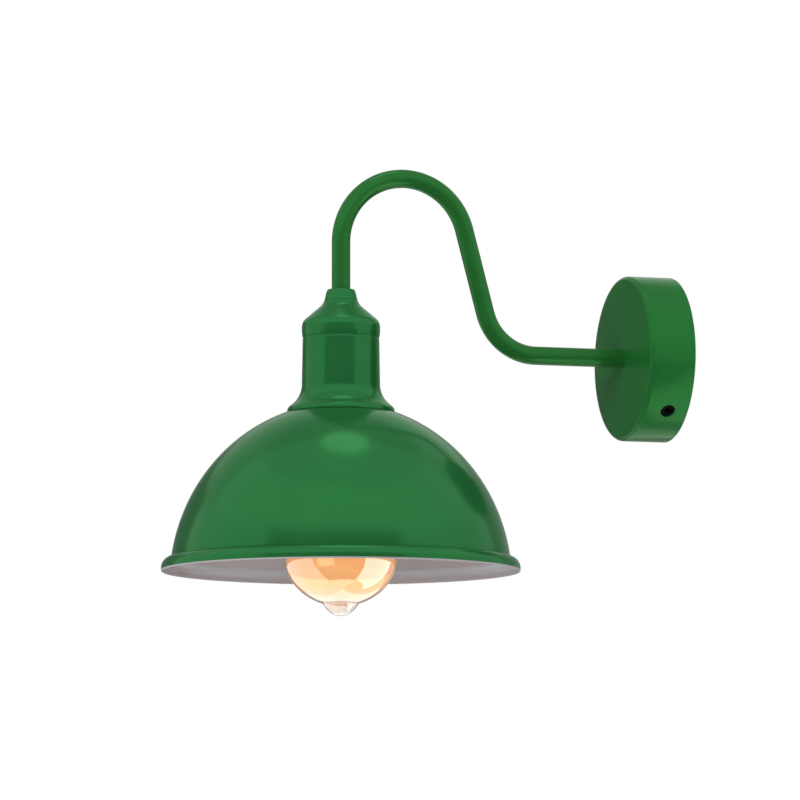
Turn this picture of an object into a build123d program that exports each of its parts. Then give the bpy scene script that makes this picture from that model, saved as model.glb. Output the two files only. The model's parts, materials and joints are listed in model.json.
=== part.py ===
"""Gooseneck wall sconce with a domed shade: every piece as it would lie on a bench.

Frame, in millimetres: the wall is the plane Y = 0 and the lamp stands out from it along -Y. X is to the
right and Z is up. The origin is the centre of the wall plate's back face.
"""

from build123d import *

import os
from math import acos, cos, degrees, radians, sin, sqrt

# ---------------------------------------------------------------- driving dimensions
# Wall plate and the canopy that covers it
CANOPY_RADIUS = 49.0
CANOPY_DEPTH = 28.0
CANOPY_EDGE = 2.5  # outer radius of the canopy's front edge
SHEET = 1.0  # thickness of the spun steel
PLATE_RADIUS = 46.0
PLATE_THICKNESS = 1.5
CABLE_HOLE_RADIUS = 10.0
SLOT_SPACING = 60.0
SLOT_WIDTH = 4.5
SLOT_LENGTH = 12.0
EAR_WIDTH = 12.0
EAR_REACH = 19.0  # how far an ear stands out from the wall
RETAINER_ANGLES = (-44.0, 136.0)  # about the arm's axis, from +X towards +Z
RETAINER_DISTANCE = 12.5  # of the retaining screws from the wall
RETAINER_HOLE_RADIUS = 4.5
RETAINER_HEAD_RADIUS = 4.0
RETAINER_HEAD = 3.0
RETAINER_RECESS = 1.0  # heads below the canopy's outside

# Arm
REACH = 204.0  # wall to the shade's axis
TUBE_RADIUS = 5.5
BORE_RADIUS = 4.0
LOWER_BEND = 32.5
ARCH_BEND = 39.0
LOWER_TURN = 75.0  # degrees turned by the lower bend
ARCH_TOP = 102.0  # centre line of the arch above the canopy's centre
THREAD_RADIUS = 4.95  # M10 thread, drawn plain
THREAD_HOLE_RADIUS = 5.0
CLEAR_HOLE_RADIUS = 5.1
CANOPY_THREAD_LENGTH = 11.0
NUT_FLATS = 14.0
NUT_HEIGHT = 5.0
WASHER_RADIUS = 8.6
WASHER_THICKNESS = 0.8
WASHER_TEETH = 10
WASHER_NOTCH = (2.4, 1.2)  # depth across the edge, and width
EASE = 0.1  # clearance of one piece in another
THREAD_EASE = 0.05  # clearance of plain-drawn threads

# Head, as radii and heights on the shade's axis
NECK_TOP = 35.0
NECK_BOTTOM = 28.8
HEAD_THREAD_END = 10.0
CAP_RADIUS = 23.0
CAP_BOTTOM = 7.0
SLEEVE_RADIUS = 22.5
FLANGE_RADIUS = 31.6
SHADE_TOP = -37.2
SHADE_HOLE_RADIUS = 20.4
SHADE_SHEET = 0.9
DOME_RADIUS = 100.3  # the dome is half of an ellipse
DOME_HEIGHT = 106.0
DOME_CENTRE = -138.0
LIP_RADIUS = 6.6  # quarter round that turns the rim outward and down
LIP_CENTRE_RADIUS = 98.6
LIP_CENTRE = -129.0
RIM_BOTTOM = -131.0

# Lampholder, E27
COVER_TOP = 21.4
HOLDER_RADIUS = 19.4
HOLDER_WALL = 1.8
HOLDER_SPLIT = -8.0
INSERT_TOP = -2.5
INSERT_BOTTOM = -10.0
SHOULDER_RADIUS = 23.5
SHOULDER_TOP = -35.2
SKIRT_BOTTOM = -47.0
SKIRT_BORE = 14.7
SKIRT_THREAD_RADIUS = 20.0
SOCKET_BORE = 13.5
SOCKET_SHEET = 0.4
SOCKET_BOTTOM = -41.0
RING_RADIUS = 27.0
RING_COLLAR_RADIUS = 24.0
RING_BOTTOM = -46.0
RING_GRIPS = 24

# Bulb, E27, teardrop with a sealed tip
BULB_TOP = -15.0
CAP_THREAD_TOP = -22.0
CAP_THREAD_PITCH = 3.629
CAP_THREAD_TURNS = 5
CAP_CREST_RADIUS = 13.05
CAP_ROOT_RADIUS = 12.15
CAP_RIM = -43.0
BULB_RADIUS = 32.9
BULB_WIDEST = -122.9
BULB_LOWER_HALF = 28.3
PIP_RADIUS = 10.3
PIP_SIDE = (6.4, -154.1)  # radius and height halfway down the sealed tip
PIP_BOTTOM = -156.9
GLASS = 0.8
FILAMENT_STRANDS = 10
FILAMENT_STEP = 30.0  # degrees from one hook to the next

HEAD = Plane.XZ.offset(REACH)  # sketch plane through the shade's axis: radius across, height up
HEAD_AXIS = Axis((0, -REACH, 0), (0, 0, 1))


def head_level(height):
    """A horizontal plane on the shade's axis, facing up."""
    return Plane(origin=(0, -REACH, height), z_dir=(0, 0, 1))


def room_side(distance):
    """A plane parallel to the wall and facing the room, at a distance from it."""
    return Plane.XZ.offset(distance)


def retainer_plane(angle, radius):
    """A plane square to a retaining screw, facing outward, at a radius from the canopy's axis."""
    outward = (cos(radians(angle)), 0, sin(radians(angle)))
    origin = (radius * outward[0], -RETAINER_DISTANCE, radius * outward[2])
    return Plane(origin=origin, x_dir=(0, -1, 0), z_dir=outward)


def turned(*points):
    """A closed outline of straight lines in the head's sketch plane, from radius and height pairs."""
    with BuildSketch(HEAD) as outline:
        with BuildLine():
            Polyline(*points, close=True)
        make_face()
    return outline.sketch


def hexagon(plane):
    """The outline of an M10 nut with its threaded hole."""
    with BuildSketch(plane) as outline:
        RegularPolygon(NUT_FLATS / 2, 6, major_radius=False)
        Circle(THREAD_HOLE_RADIUS, mode=Mode.SUBTRACT)
    return outline.sketch


def toothed_ring(plane):
    """The outline of a lock washer with teeth round its outside."""
    with BuildSketch(plane) as outline:
        Circle(WASHER_RADIUS)
        Circle(CLEAR_HOLE_RADIUS, mode=Mode.SUBTRACT)
        with PolarLocations(WASHER_RADIUS, WASHER_TEETH):
            Rectangle(*WASHER_NOTCH, mode=Mode.SUBTRACT)
    return outline.sketch


def wire_path(points, radius):
    """A path of straight runs joined by arcs of one radius."""
    with BuildLine() as path:
        FilletPolyline(*points, radius=radius)
    return path.wire()


def write(builder, name):
    """Labels a finished piece and writes its STEP file."""
    builder.part.label = name
    export_step(builder.part, f"parts/{name}.step")


os.makedirs("parts", exist_ok=True)

# ================================================================ wall side
# Pressed steel plate on the wall: two slots for the wall screws, a hole for the supply cable, a hole for the
# earth screw, and two ears bent forward, tapped for the screws that hold the canopy.
EARTH_HEIGHT = 30.0
EARTH_HOLE_RADIUS = 2.0
EAR_THREAD_RADIUS = 2.0
EAR_CORNER = 0.4
ear_outside = CANOPY_RADIUS - RETAINER_RECESS - RETAINER_HEAD

with BuildPart() as wall_plate:
    with BuildSketch(room_side(0)):
        Circle(PLATE_RADIUS)
        Circle(CABLE_HOLE_RADIUS, mode=Mode.SUBTRACT)
        with Locations((-SLOT_SPACING / 2, 0), (SLOT_SPACING / 2, 0)):
            SlotOverall(SLOT_LENGTH, SLOT_WIDTH, mode=Mode.SUBTRACT)
        with Locations((0, EARTH_HEIGHT)):
            Circle(EARTH_HOLE_RADIUS, mode=Mode.SUBTRACT)
    extrude(amount=PLATE_THICKNESS)
    for angle in RETAINER_ANGLES:
        with BuildSketch(retainer_plane(angle, ear_outside)):
            with Locations((EAR_REACH / 2 - RETAINER_DISTANCE, 0)):
                RectangleRounded(EAR_REACH, EAR_WIDTH, EAR_CORNER)
            Circle(EAR_THREAD_RADIUS, mode=Mode.SUBTRACT)
        extrude(amount=-PLATE_THICKNESS)
write(wall_plate, "wall_plate")

# Spun steel cup over the wall plate, with the arm's hole in its face and two side holes for the heads of the
# retaining screws.
with BuildPart() as canopy:
    with BuildSketch(room_side(0)):
        Circle(CANOPY_RADIUS)
    extrude(amount=CANOPY_DEPTH)
    fillet(canopy.edges().sort_by(Axis.Y)[0], CANOPY_EDGE)
    offset(amount=-SHEET, openings=canopy.faces().sort_by(Axis.Y)[-1])
    with Locations(room_side(CANOPY_DEPTH)):
        Hole(CLEAR_HOLE_RADIUS)
    for angle in RETAINER_ANGLES:
        with BuildSketch(retainer_plane(angle, CANOPY_RADIUS + SHEET)):
            Circle(RETAINER_HOLE_RADIUS)
        extrude(amount=-4 * SHEET, mode=Mode.SUBTRACT)
write(canopy, "canopy")

# Two socket-head screws, tapped into the ears, whose heads fill the canopy's side holes.
SCREW_SHANK = 6.5
SCREW_RADIUS = EAR_THREAD_RADIUS - THREAD_EASE
HEX_RADIUS = 1.9
HEX_DEPTH = 1.8
with BuildPart() as retaining_screws:
    for angle in RETAINER_ANGLES:
        with BuildSketch(retainer_plane(angle, ear_outside)):
            Circle(RETAINER_HEAD_RADIUS)
        extrude(amount=RETAINER_HEAD)
        with BuildSketch(retainer_plane(angle, ear_outside)):
            Circle(SCREW_RADIUS)
        extrude(amount=-SCREW_SHANK)
        with BuildSketch(retainer_plane(angle, ear_outside + RETAINER_HEAD)):
            RegularPolygon(HEX_RADIUS, 6)
        extrude(amount=-HEX_DEPTH, mode=Mode.SUBTRACT)
write(retaining_screws, "retaining_screws")

# Three-way terminal block on the wall plate: nylon body, brass clamps and their screws, one fixing screw.
BLOCK_HEIGHT = -25.0
BLOCK_WIDTH = 32.0
BLOCK_TALL = 14.0
BLOCK_DEEP = 11.0
BLOCK_CORNER = 1.0
WAY_PITCH = 9.0
CLAMP_RADIUS = 2.4
CLAMP_BORE = 1.5
CLAMP_INSET = 0.5  # of each clamp's ends below the block's
CLAMP_DISTANCE = 6.5  # of the wire ways from the wall
TERMINAL_SCREW = 1.2
TERMINAL_SCREW_LENGTH = 3.0
TERMINAL_SCREW_PLACE = 3.6  # either side of the clamp's middle
TERMINAL_WELL = 1.5
BLOCK_SCREW = 1.2
BLOCK_SCREW_HEAD = 2.1
BLOCK_SCREW_SINK = 2.5
SLIT = 0.5
block_face = PLATE_THICKNESS + BLOCK_DEEP
ways = [(column * WAY_PITCH, -CLAMP_DISTANCE) for column in (-1, 0, 1)]
clamp_screws = [
    (way[0], BLOCK_HEIGHT + side * TERMINAL_SCREW_PLACE) for way in ways for side in (-1, 1)
]
block_screw_place = (-WAY_PITCH / 2, BLOCK_HEIGHT)

with BuildPart() as terminal_block:
    with BuildSketch(room_side(PLATE_THICKNESS)):
        with Locations((0, BLOCK_HEIGHT)):
            RectangleRounded(BLOCK_WIDTH, BLOCK_TALL, BLOCK_CORNER)
        with Locations(block_screw_place):
            Circle(BLOCK_SCREW + EASE, mode=Mode.SUBTRACT)
    extrude(amount=BLOCK_DEEP)
    with BuildSketch(room_side(block_face)):
        with Locations(*clamp_screws):
            Circle(TERMINAL_WELL)
    extrude(amount=CLAMP_DISTANCE - block_face, mode=Mode.SUBTRACT)
    with BuildSketch(room_side(block_face)):
        with Locations(block_screw_place):
            Circle(BLOCK_SCREW_HEAD + EASE)
    extrude(amount=-BLOCK_SCREW_SINK, mode=Mode.SUBTRACT)
    with BuildSketch(Plane.XY.offset(BLOCK_HEIGHT)):
        with Locations(*ways):
            Circle(CLAMP_RADIUS)
    extrude(amount=BLOCK_TALL / 2, both=True, mode=Mode.SUBTRACT)
write(terminal_block, "terminal_block")

with BuildPart() as terminal_clamps:
    with BuildSketch(Plane.XY.offset(BLOCK_HEIGHT)):
        with Locations(*ways):
            Circle(CLAMP_RADIUS)
            Circle(CLAMP_BORE, mode=Mode.SUBTRACT)
    extrude(amount=BLOCK_TALL / 2 - CLAMP_INSET, both=True)
    with BuildSketch(room_side(block_face)):
        with Locations(*clamp_screws):
            Circle(TERMINAL_SCREW)
    extrude(amount=CLAMP_DISTANCE - block_face, mode=Mode.SUBTRACT)
write(terminal_clamps, "terminal_clamps")

with BuildPart() as terminal_screws:
    with BuildSketch(room_side(CLAMP_DISTANCE + CLAMP_BORE)):
        with Locations(*clamp_screws):
            Circle(TERMINAL_SCREW - THREAD_EASE)
    extrude(amount=TERMINAL_SCREW_LENGTH)
    with BuildSketch(room_side(CLAMP_DISTANCE + CLAMP_BORE + TERMINAL_SCREW_LENGTH)):
        with Locations(*clamp_screws):
            Rectangle(2 * TERMINAL_SCREW, SLIT)
    extrude(amount=-SLIT, mode=Mode.SUBTRACT)
write(terminal_screws, "terminal_screws")

BLOCK_SCREW_HEIGHT = 1.4
with BuildPart() as block_screw:
    with BuildSketch(room_side(PLATE_THICKNESS)):
        with Locations(block_screw_place):
            Circle(BLOCK_SCREW)
    extrude(amount=BLOCK_DEEP - BLOCK_SCREW_SINK)
    with BuildSketch(room_side(block_face - BLOCK_SCREW_SINK)):
        with Locations(block_screw_place):
            Circle(BLOCK_SCREW_HEAD)
    extrude(amount=BLOCK_SCREW_HEIGHT)
    with BuildSketch(room_side(block_face - BLOCK_SCREW_SINK + BLOCK_SCREW_HEIGHT)):
        with Locations(block_screw_place):
            Rectangle(2 * BLOCK_SCREW_HEAD, SLIT)
    extrude(amount=-SLIT, mode=Mode.SUBTRACT)
write(block_screw, "block_screw")

# Earth screw through the wall plate, with its square clamping washer.
EARTH_WASHER = 9.2
EARTH_WASHER_THICKNESS = 0.8
EARTH_WASHER_CORNER = 1.0
EARTH_HEAD_RADIUS = 3.7
EARTH_HEAD = 2.4
EARTH_HEAD_TAPER = 12
EARTH_CROSS = (5.0, 0.8)
earth_seat = PLATE_THICKNESS + EARTH_WASHER_THICKNESS

with BuildPart() as earth_washer:
    with BuildSketch(room_side(PLATE_THICKNESS)):
        with Locations((0, EARTH_HEIGHT)):
            RectangleRounded(EARTH_WASHER, EARTH_WASHER, EARTH_WASHER_CORNER)
            Circle(EARTH_HOLE_RADIUS + EASE, mode=Mode.SUBTRACT)
    extrude(amount=EARTH_WASHER_THICKNESS)
write(earth_washer, "earth_washer")

with BuildPart() as earth_screw:
    with BuildSketch(room_side(0)):
        with Locations((0, EARTH_HEIGHT)):
            Circle(EARTH_HOLE_RADIUS - THREAD_EASE)
    extrude(amount=earth_seat)
    with BuildSketch(room_side(earth_seat)):
        with Locations((0, EARTH_HEIGHT)):
            Circle(EARTH_HEAD_RADIUS)
    extrude(amount=EARTH_HEAD, taper=EARTH_HEAD_TAPER)
    with BuildSketch(room_side(earth_seat + EARTH_HEAD)):
        with Locations((0, EARTH_HEIGHT)):
            Rectangle(EARTH_CROSS[0], EARTH_CROSS[1])
            Rectangle(EARTH_CROSS[1], EARTH_CROSS[0])
    extrude(amount=-EARTH_HEAD / 2, mode=Mode.SUBTRACT)
write(earth_screw, "earth_screw")

# ================================================================ arm
# The centre line lies in the plane X = 0: straight out of the canopy, up the lower bend, along the slope,
# over the arch and straight down onto the neck. The lengths of its two first straights follow from the reach
# and the arch's height.
turn = radians(LOWER_TURN)
arch_centre = (ARCH_BEND - REACH, ARCH_TOP - ARCH_BEND)
slope_top = (arch_centre[0] + ARCH_BEND * sin(turn), arch_centre[1] + ARCH_BEND * cos(turn))
slope_length = (slope_top[1] - LOWER_BEND * (1 - cos(turn))) / sin(turn)
run_end = slope_top[0] + slope_length * cos(turn) + LOWER_BEND * sin(turn)
lower_centre = (run_end, LOWER_BEND)


def on_bend(centre, radius, degrees):
    """A point of one of the arm's bends, as X, Y and Z."""
    return (0, centre[0] + radius * cos(radians(degrees)), centre[1] + radius * sin(radians(degrees)))


def arm_path(start_y, end_z):
    """The arm's centre line, from a Y inside the canopy to a height in the head."""
    run_stop = (0, run_end, 0)
    slope_start = on_bend(lower_centre, LOWER_BEND, 270 - LOWER_TURN)
    slope_stop = on_bend(arch_centre, ARCH_BEND, 90 - LOWER_TURN)
    arch_stop = (0, -REACH, arch_centre[1])
    with BuildLine() as path:
        Line((0, start_y, 0), run_stop)
        ThreePointArc(run_stop, on_bend(lower_centre, LOWER_BEND, 270 - LOWER_TURN / 2), slope_start)
        Line(slope_start, slope_stop)
        ThreePointArc(slope_stop, on_bend(arch_centre, ARCH_BEND, 135 - LOWER_TURN / 2), arch_stop)
        Line(arch_stop, (0, -REACH, end_z))
    return path.wire()


arm_line = arm_path(-CANOPY_DEPTH, NECK_TOP)
print("arm centre line", round(arm_line.length, 2), "straight run", round(-run_end - CANOPY_DEPTH, 2))
canopy_thread_end = CANOPY_DEPTH - CANOPY_THREAD_LENGTH
with BuildPart() as arm_tube:
    with BuildSketch(arm_line ^ 0):
        Circle(TUBE_RADIUS)
        Circle(BORE_RADIUS, mode=Mode.SUBTRACT)
    sweep(path=arm_line)
    with BuildSketch(room_side(CANOPY_DEPTH)):
        Circle(THREAD_RADIUS)
        Circle(BORE_RADIUS, mode=Mode.SUBTRACT)
    extrude(amount=-CANOPY_THREAD_LENGTH)
    with BuildSketch(head_level(NECK_TOP)):
        Circle(THREAD_RADIUS)
        Circle(BORE_RADIUS, mode=Mode.SUBTRACT)
    extrude(amount=HEAD_THREAD_END - NECK_TOP)
write(arm_tube, "arm_tube")

# Toothed washer and nut that clamp the arm's threaded end to the canopy's face.
with BuildPart() as arm_washer:
    extrude(toothed_ring(room_side(CANOPY_DEPTH - SHEET)), amount=-WASHER_THICKNESS)
write(arm_washer, "arm_washer")

with BuildPart() as arm_nut:
    extrude(hexagon(room_side(CANOPY_DEPTH - SHEET - WASHER_THICKNESS)), amount=-NUT_HEIGHT)
write(arm_nut, "arm_nut")

# Nylon bushes that line both ends of the tube where the cable leaves it.
BUSH_BORE = 3.2
BUSH_SPIGOT = 4.0
BUSH_FLANGE = 1.0
with BuildPart() as cable_bushes:
    for plane in (room_side(canopy_thread_end), head_level(HEAD_THREAD_END)):
        with BuildSketch(plane):
            Circle(BORE_RADIUS - THREAD_EASE)
            Circle(BUSH_BORE, mode=Mode.SUBTRACT)
        extrude(amount=BUSH_SPIGOT)
        with BuildSketch(plane):
            Circle(THREAD_RADIUS)
            Circle(BUSH_BORE, mode=Mode.SUBTRACT)
        extrude(amount=-BUSH_FLANGE)
write(cable_bushes, "cable_bushes")

# Two-core cable through the arm, and the cores that leave its two ends.
CABLE_RADIUS = 3.1
CORE_RADIUS = 0.9
CORE_OFFSET = 1.5
CORE_BEND = 3.0
CORE_GRIP = 4.0  # length of a core's end inside its clamp
CABLE_WALL_END = -14.5
CABLE_HEAD_END = 8.0
cable_line = arm_path(CABLE_WALL_END, CABLE_HEAD_END)
with BuildPart() as lamp_cable:
    with BuildSketch(cable_line ^ 0):
        Circle(CABLE_RADIUS)
    sweep(path=cable_line)
write(lamp_cable, "lamp_cable")

block_top = BLOCK_HEIGHT + BLOCK_TALL / 2
core_depth = -CLAMP_DISTANCE
link_depth = -(earth_seat + CORE_RADIUS + EASE)
wall_routes = {
    "live_core": [
        (-CORE_OFFSET, CABLE_WALL_END, 0),
        (-CORE_OFFSET, core_depth - 0.8, 0),
        (-WAY_PITCH, core_depth, -9.0),
        (-WAY_PITCH, core_depth, block_top - CORE_GRIP),
    ],
    "neutral_core": [
        (CORE_OFFSET, CABLE_WALL_END, 0),
        (CORE_OFFSET, core_depth - 0.8, 0),
        (0, core_depth, -9.0),
        (0, core_depth, block_top - CORE_GRIP),
    ],
    "earth_link": [
        (WAY_PITCH, core_depth, block_top - CORE_GRIP),
        (WAY_PITCH, core_depth, -12.0),
        (16.0, core_depth, 0),
        (16.0, core_depth, 14.0),
        (12.0, link_depth, EARTH_HEIGHT),
        (EARTH_HEAD_RADIUS + EASE, link_depth, EARTH_HEIGHT),
    ],
}
for name, route in wall_routes.items():
    path = wire_path(route, CORE_BEND)
    with BuildPart() as core:
        with BuildSketch(path ^ 0):
            Circle(CORE_RADIUS)
        sweep(path=path)
    write(core, name)

# ================================================================ head
# Turned collar that the arm's thread screws through, on top of the cap.
with BuildPart() as neck_bush:
    revolve(
        turned(
            (THREAD_HOLE_RADIUS, NECK_TOP),
            (7.4, NECK_TOP),
            (8.1, NECK_TOP - 0.3),
            (8.4, NECK_TOP - 1.0),
            (9.7, NECK_BOTTOM),
            (THREAD_HOLE_RADIUS, NECK_BOTTOM),
        ),
        axis=HEAD_AXIS,
    )
write(neck_bush, "neck_bush")

# Spun cap: a flat seat under the collar, a hollow flare, a rounded shoulder and a short upright skirt.
with BuildPart() as holder_cap:
    with BuildSketch(HEAD):
        with BuildLine():
            FilletPolyline(
                (CLEAR_HOLE_RADIUS, NECK_BOTTOM),
                (9.7, NECK_BOTTOM),
                (10.7, 26.1),
                (CAP_RADIUS, 15.7),
                (CAP_RADIUS, CAP_BOTTOM),
                radius=(0.6, 9.0, 6.8),
            )
            offset(amount=SHEET, side=Side.RIGHT)
        make_face()
    revolve(axis=HEAD_AXIS)
write(holder_cap, "holder_cap")

with BuildPart() as cap_washer:
    extrude(toothed_ring(head_level(NECK_BOTTOM - SHEET)), amount=-WASHER_THICKNESS)
write(cap_washer, "cap_washer")

with BuildPart() as cap_nut:
    extrude(hexagon(head_level(NECK_BOTTOM - SHEET - WASHER_THICKNESS)), amount=-NUT_HEIGHT)
write(cap_nut, "cap_nut")

# Spun sleeve: its top slips inside the cap's skirt and its flared foot stands on the shade.
SPIGOT_TOP = 12.0
SPIGOT_RADIUS = CAP_RADIUS - SHEET - EASE
FLARE_START = -28.2
FLARE_END = -35.2
with BuildPart() as holder_sleeve:
    with BuildSketch(HEAD):
        with BuildLine():
            FilletPolyline(
                (SPIGOT_RADIUS, SPIGOT_TOP),
                (SPIGOT_RADIUS, CAP_BOTTOM - EASE),
                (SLEEVE_RADIUS, CAP_BOTTOM - 0.7),
                (SLEEVE_RADIUS + 0.6, FLARE_START),
                (FLANGE_RADIUS, FLARE_END),
                (FLANGE_RADIUS, SHADE_TOP),
                radius=(0.4, 0.4, 15.0, 3.8),
            )
            offset(amount=SHEET, side=Side.RIGHT)
        make_face()
    revolve(axis=HEAD_AXIS)
write(holder_sleeve, "holder_sleeve")

# Moulded top half of the lampholder: a threaded collar on the arm's end, a domed shell round the terminals.
COLLAR_RADIUS = 8.0
COLLAR_FOOT = 17.6
GRUB_RADIUS = 1.4
grub_height = (COVER_TOP + COLLAR_FOOT) / 2
shell_radius = HOLDER_RADIUS - COLLAR_RADIUS
grub_plane = room_side(REACH + COLLAR_RADIUS)
shell_centre = (COLLAR_RADIUS, COLLAR_FOOT - shell_radius)

with BuildPart() as lampholder_cover:
    with BuildSketch(HEAD):
        with BuildLine():
            outside = CenterArc(shell_centre, shell_radius, 90, -90)
            inside = CenterArc(shell_centre, shell_radius - HOLDER_WALL, 90, -90)
            Polyline(
                inside @ 0,
                (COLLAR_RADIUS, HEAD_THREAD_END),
                (THREAD_HOLE_RADIUS, HEAD_THREAD_END),
                (THREAD_HOLE_RADIUS, COVER_TOP),
                (COLLAR_RADIUS, COVER_TOP),
                outside @ 0,
            )
            Polyline(
                outside @ 1,
                (HOLDER_RADIUS, HOLDER_SPLIT),
                (HOLDER_RADIUS - HOLDER_WALL, HOLDER_SPLIT),
                inside @ 1,
            )
        make_face()
    revolve(axis=HEAD_AXIS)
    with BuildSketch(grub_plane):
        with Locations((0, grub_height)):
            Circle(GRUB_RADIUS + EASE)
    extrude(amount=THREAD_HOLE_RADIUS - COLLAR_RADIUS, mode=Mode.SUBTRACT)
write(lampholder_cover, "lampholder_cover")

# Grub screw that locks the lampholder on the arm's thread.
with BuildPart() as holder_grub_screw:
    with BuildSketch(grub_plane):
        with Locations((0, grub_height)):
            Circle(GRUB_RADIUS)
    extrude(amount=THREAD_HOLE_RADIUS - COLLAR_RADIUS + EASE)
    with BuildSketch(grub_plane):
        with Locations((0, grub_height)):
            Rectangle(SLIT, 2 * GRUB_RADIUS)
    extrude(amount=-2 * SLIT, mode=Mode.SUBTRACT)
write(holder_grub_screw, "holder_grub_screw")

# Ceramic insert with a pocket for each terminal plate, and what it carries: two plates and their screws on
# top, two rivets through its floor, the centre contact's tongue and the screwed shell's top below.
INSERT_RADIUS = 15.4
POCKET = (7.2, 5.2)
POCKET_FLOOR = -8.0
POCKET_PLACE = 9.8
PLATE = (7.0, 5.0, 1.6)
PLATE_SCREW_PLACE = 11.0
PLATE_SCREW = (1.15, 2.1, 1.4)  # shank radius, head radius, head height
RIVET_PLACE = 7.6
RIVET = (0.9, 1.7, 0.5)  # shank radius, head radius, head height
pockets = ((-POCKET_PLACE, 0), (POCKET_PLACE, 0))
rivet_places = ((-RIVET_PLACE, 0), (RIVET_PLACE, 0))
plate_screw_places = ((-PLATE_SCREW_PLACE, 0), (PLATE_SCREW_PLACE, 0))
plate_top = POCKET_FLOOR + PLATE[2]
contact_bottom = INSERT_BOTTOM - SOCKET_SHEET

with BuildPart() as lampholder_insert:
    with BuildSketch(head_level(INSERT_TOP)):
        Circle(INSERT_RADIUS)
    extrude(amount=INSERT_BOTTOM - INSERT_TOP)
    with BuildSketch(head_level(INSERT_TOP)):
        with Locations(*pockets):
            Rectangle(*POCKET)
    extrude(amount=POCKET_FLOOR - INSERT_TOP, mode=Mode.SUBTRACT)
    with BuildSketch(head_level(POCKET_FLOOR)):
        with Locations(*rivet_places):
            Circle(RIVET[0] + THREAD_EASE)
    extrude(amount=INSERT_BOTTOM - POCKET_FLOOR, mode=Mode.SUBTRACT)
write(lampholder_insert, "lampholder_insert")

with BuildPart() as terminal_plates:
    with BuildSketch(head_level(POCKET_FLOOR)):
        with Locations(*pockets):
            Rectangle(PLATE[0], PLATE[1])
        with Locations(*rivet_places):
            Circle(RIVET[0] + THREAD_EASE, mode=Mode.SUBTRACT)
        with Locations(*plate_screw_places):
            Circle(PLATE_SCREW[0] + THREAD_EASE, mode=Mode.SUBTRACT)
    extrude(amount=PLATE[2])
write(terminal_plates, "terminal_plates")

with BuildPart() as plate_screws:
    with BuildSketch(head_level(POCKET_FLOOR)):
        with Locations(*plate_screw_places):
            Circle(PLATE_SCREW[0])
    extrude(amount=PLATE[2])
    with BuildSketch(head_level(plate_top)):
        with Locations(*plate_screw_places):
            Circle(PLATE_SCREW[1])
    extrude(amount=PLATE_SCREW[2])
    with BuildSketch(head_level(plate_top + PLATE_SCREW[2])):
        with Locations(*plate_screw_places):
            Rectangle(2 * PLATE_SCREW[1], SLIT)
    extrude(amount=-SLIT, mode=Mode.SUBTRACT)
write(plate_screws, "plate_screws")

with BuildPart() as contact_rivets:
    with BuildSketch(head_level(plate_top)):
        with Locations(*rivet_places):
            Circle(RIVET[0])
    extrude(amount=contact_bottom - plate_top)
    with BuildSketch(head_level(contact_bottom)):
        with Locations(*rivet_places):
            Circle(RIVET[1])
    extrude(amount=-RIVET[2])
write(contact_rivets, "contact_rivets")

head_routes = {
    "holder_live_core": -1,
    "holder_neutral_core": 1,
}
for name, side in head_routes.items():
    path = wire_path(
        [
            (side * CORE_OFFSET, -REACH, CABLE_HEAD_END),
            (side * CORE_OFFSET, -REACH, 4.5),
            (side * RIVET_PLACE, -REACH, 0.5),
            (side * RIVET_PLACE, -REACH, plate_top),
        ],
        2.5,
    )
    with BuildPart() as core:
        with BuildSketch(path ^ 0):
            Circle(CORE_RADIUS)
        sweep(path=path)
    write(core, name)

# Sprung tongue that presses on the bulb's tip, bent from strip.
TONGUE_WIDTH = 5.0
TONGUE_CLEARANCE = 1.0  # round the tongue where it passes the socket
with BuildPart() as centre_contact:
    with BuildSketch(HEAD):
        with BuildLine():
            FilletPolyline(
                (10.4, INSERT_BOTTOM),
                (3.0, INSERT_BOTTOM),
                (-2.5, BULB_TOP + EASE + SOCKET_SHEET),
                (-5.5, BULB_TOP + 1.6),
                radius=(1.0, 1.2),
            )
            offset(amount=SOCKET_SHEET, side=Side.LEFT)
        make_face()
    extrude(amount=TONGUE_WIDTH / 2, both=True)
    with BuildSketch(head_level(INSERT_BOTTOM)):
        with Locations(rivet_places[1]):
            Circle(RIVET[0] + THREAD_EASE)
    extrude(amount=-2 * SOCKET_SHEET, mode=Mode.SUBTRACT)
write(centre_contact, "centre_contact")

# Brass socket that the bulb's cap screws into: plain-bored, with a top flange cut away round the tongue.
TOP_HOLE = 5.5
with BuildPart() as screw_socket:
    with BuildSketch(head_level(INSERT_BOTTOM)):
        Circle(SOCKET_BORE + SOCKET_SHEET)
    extrude(amount=SOCKET_BOTTOM - INSERT_BOTTOM)
    with BuildSketch(head_level(contact_bottom)):
        Circle(SOCKET_BORE)
    extrude(amount=SOCKET_BOTTOM - contact_bottom, mode=Mode.SUBTRACT)
    with BuildSketch(head_level(INSERT_BOTTOM)):
        Circle(TOP_HOLE)
        with Locations((TOP_HOLE, 0)):
            Rectangle(2 * TOP_HOLE, TONGUE_WIDTH + 2 * TONGUE_CLEARANCE)
        with Locations(rivet_places[0]):
            Circle(RIVET[0] + THREAD_EASE)
    extrude(amount=-SOCKET_SHEET, mode=Mode.SUBTRACT)
write(screw_socket, "screw_socket")

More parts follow.
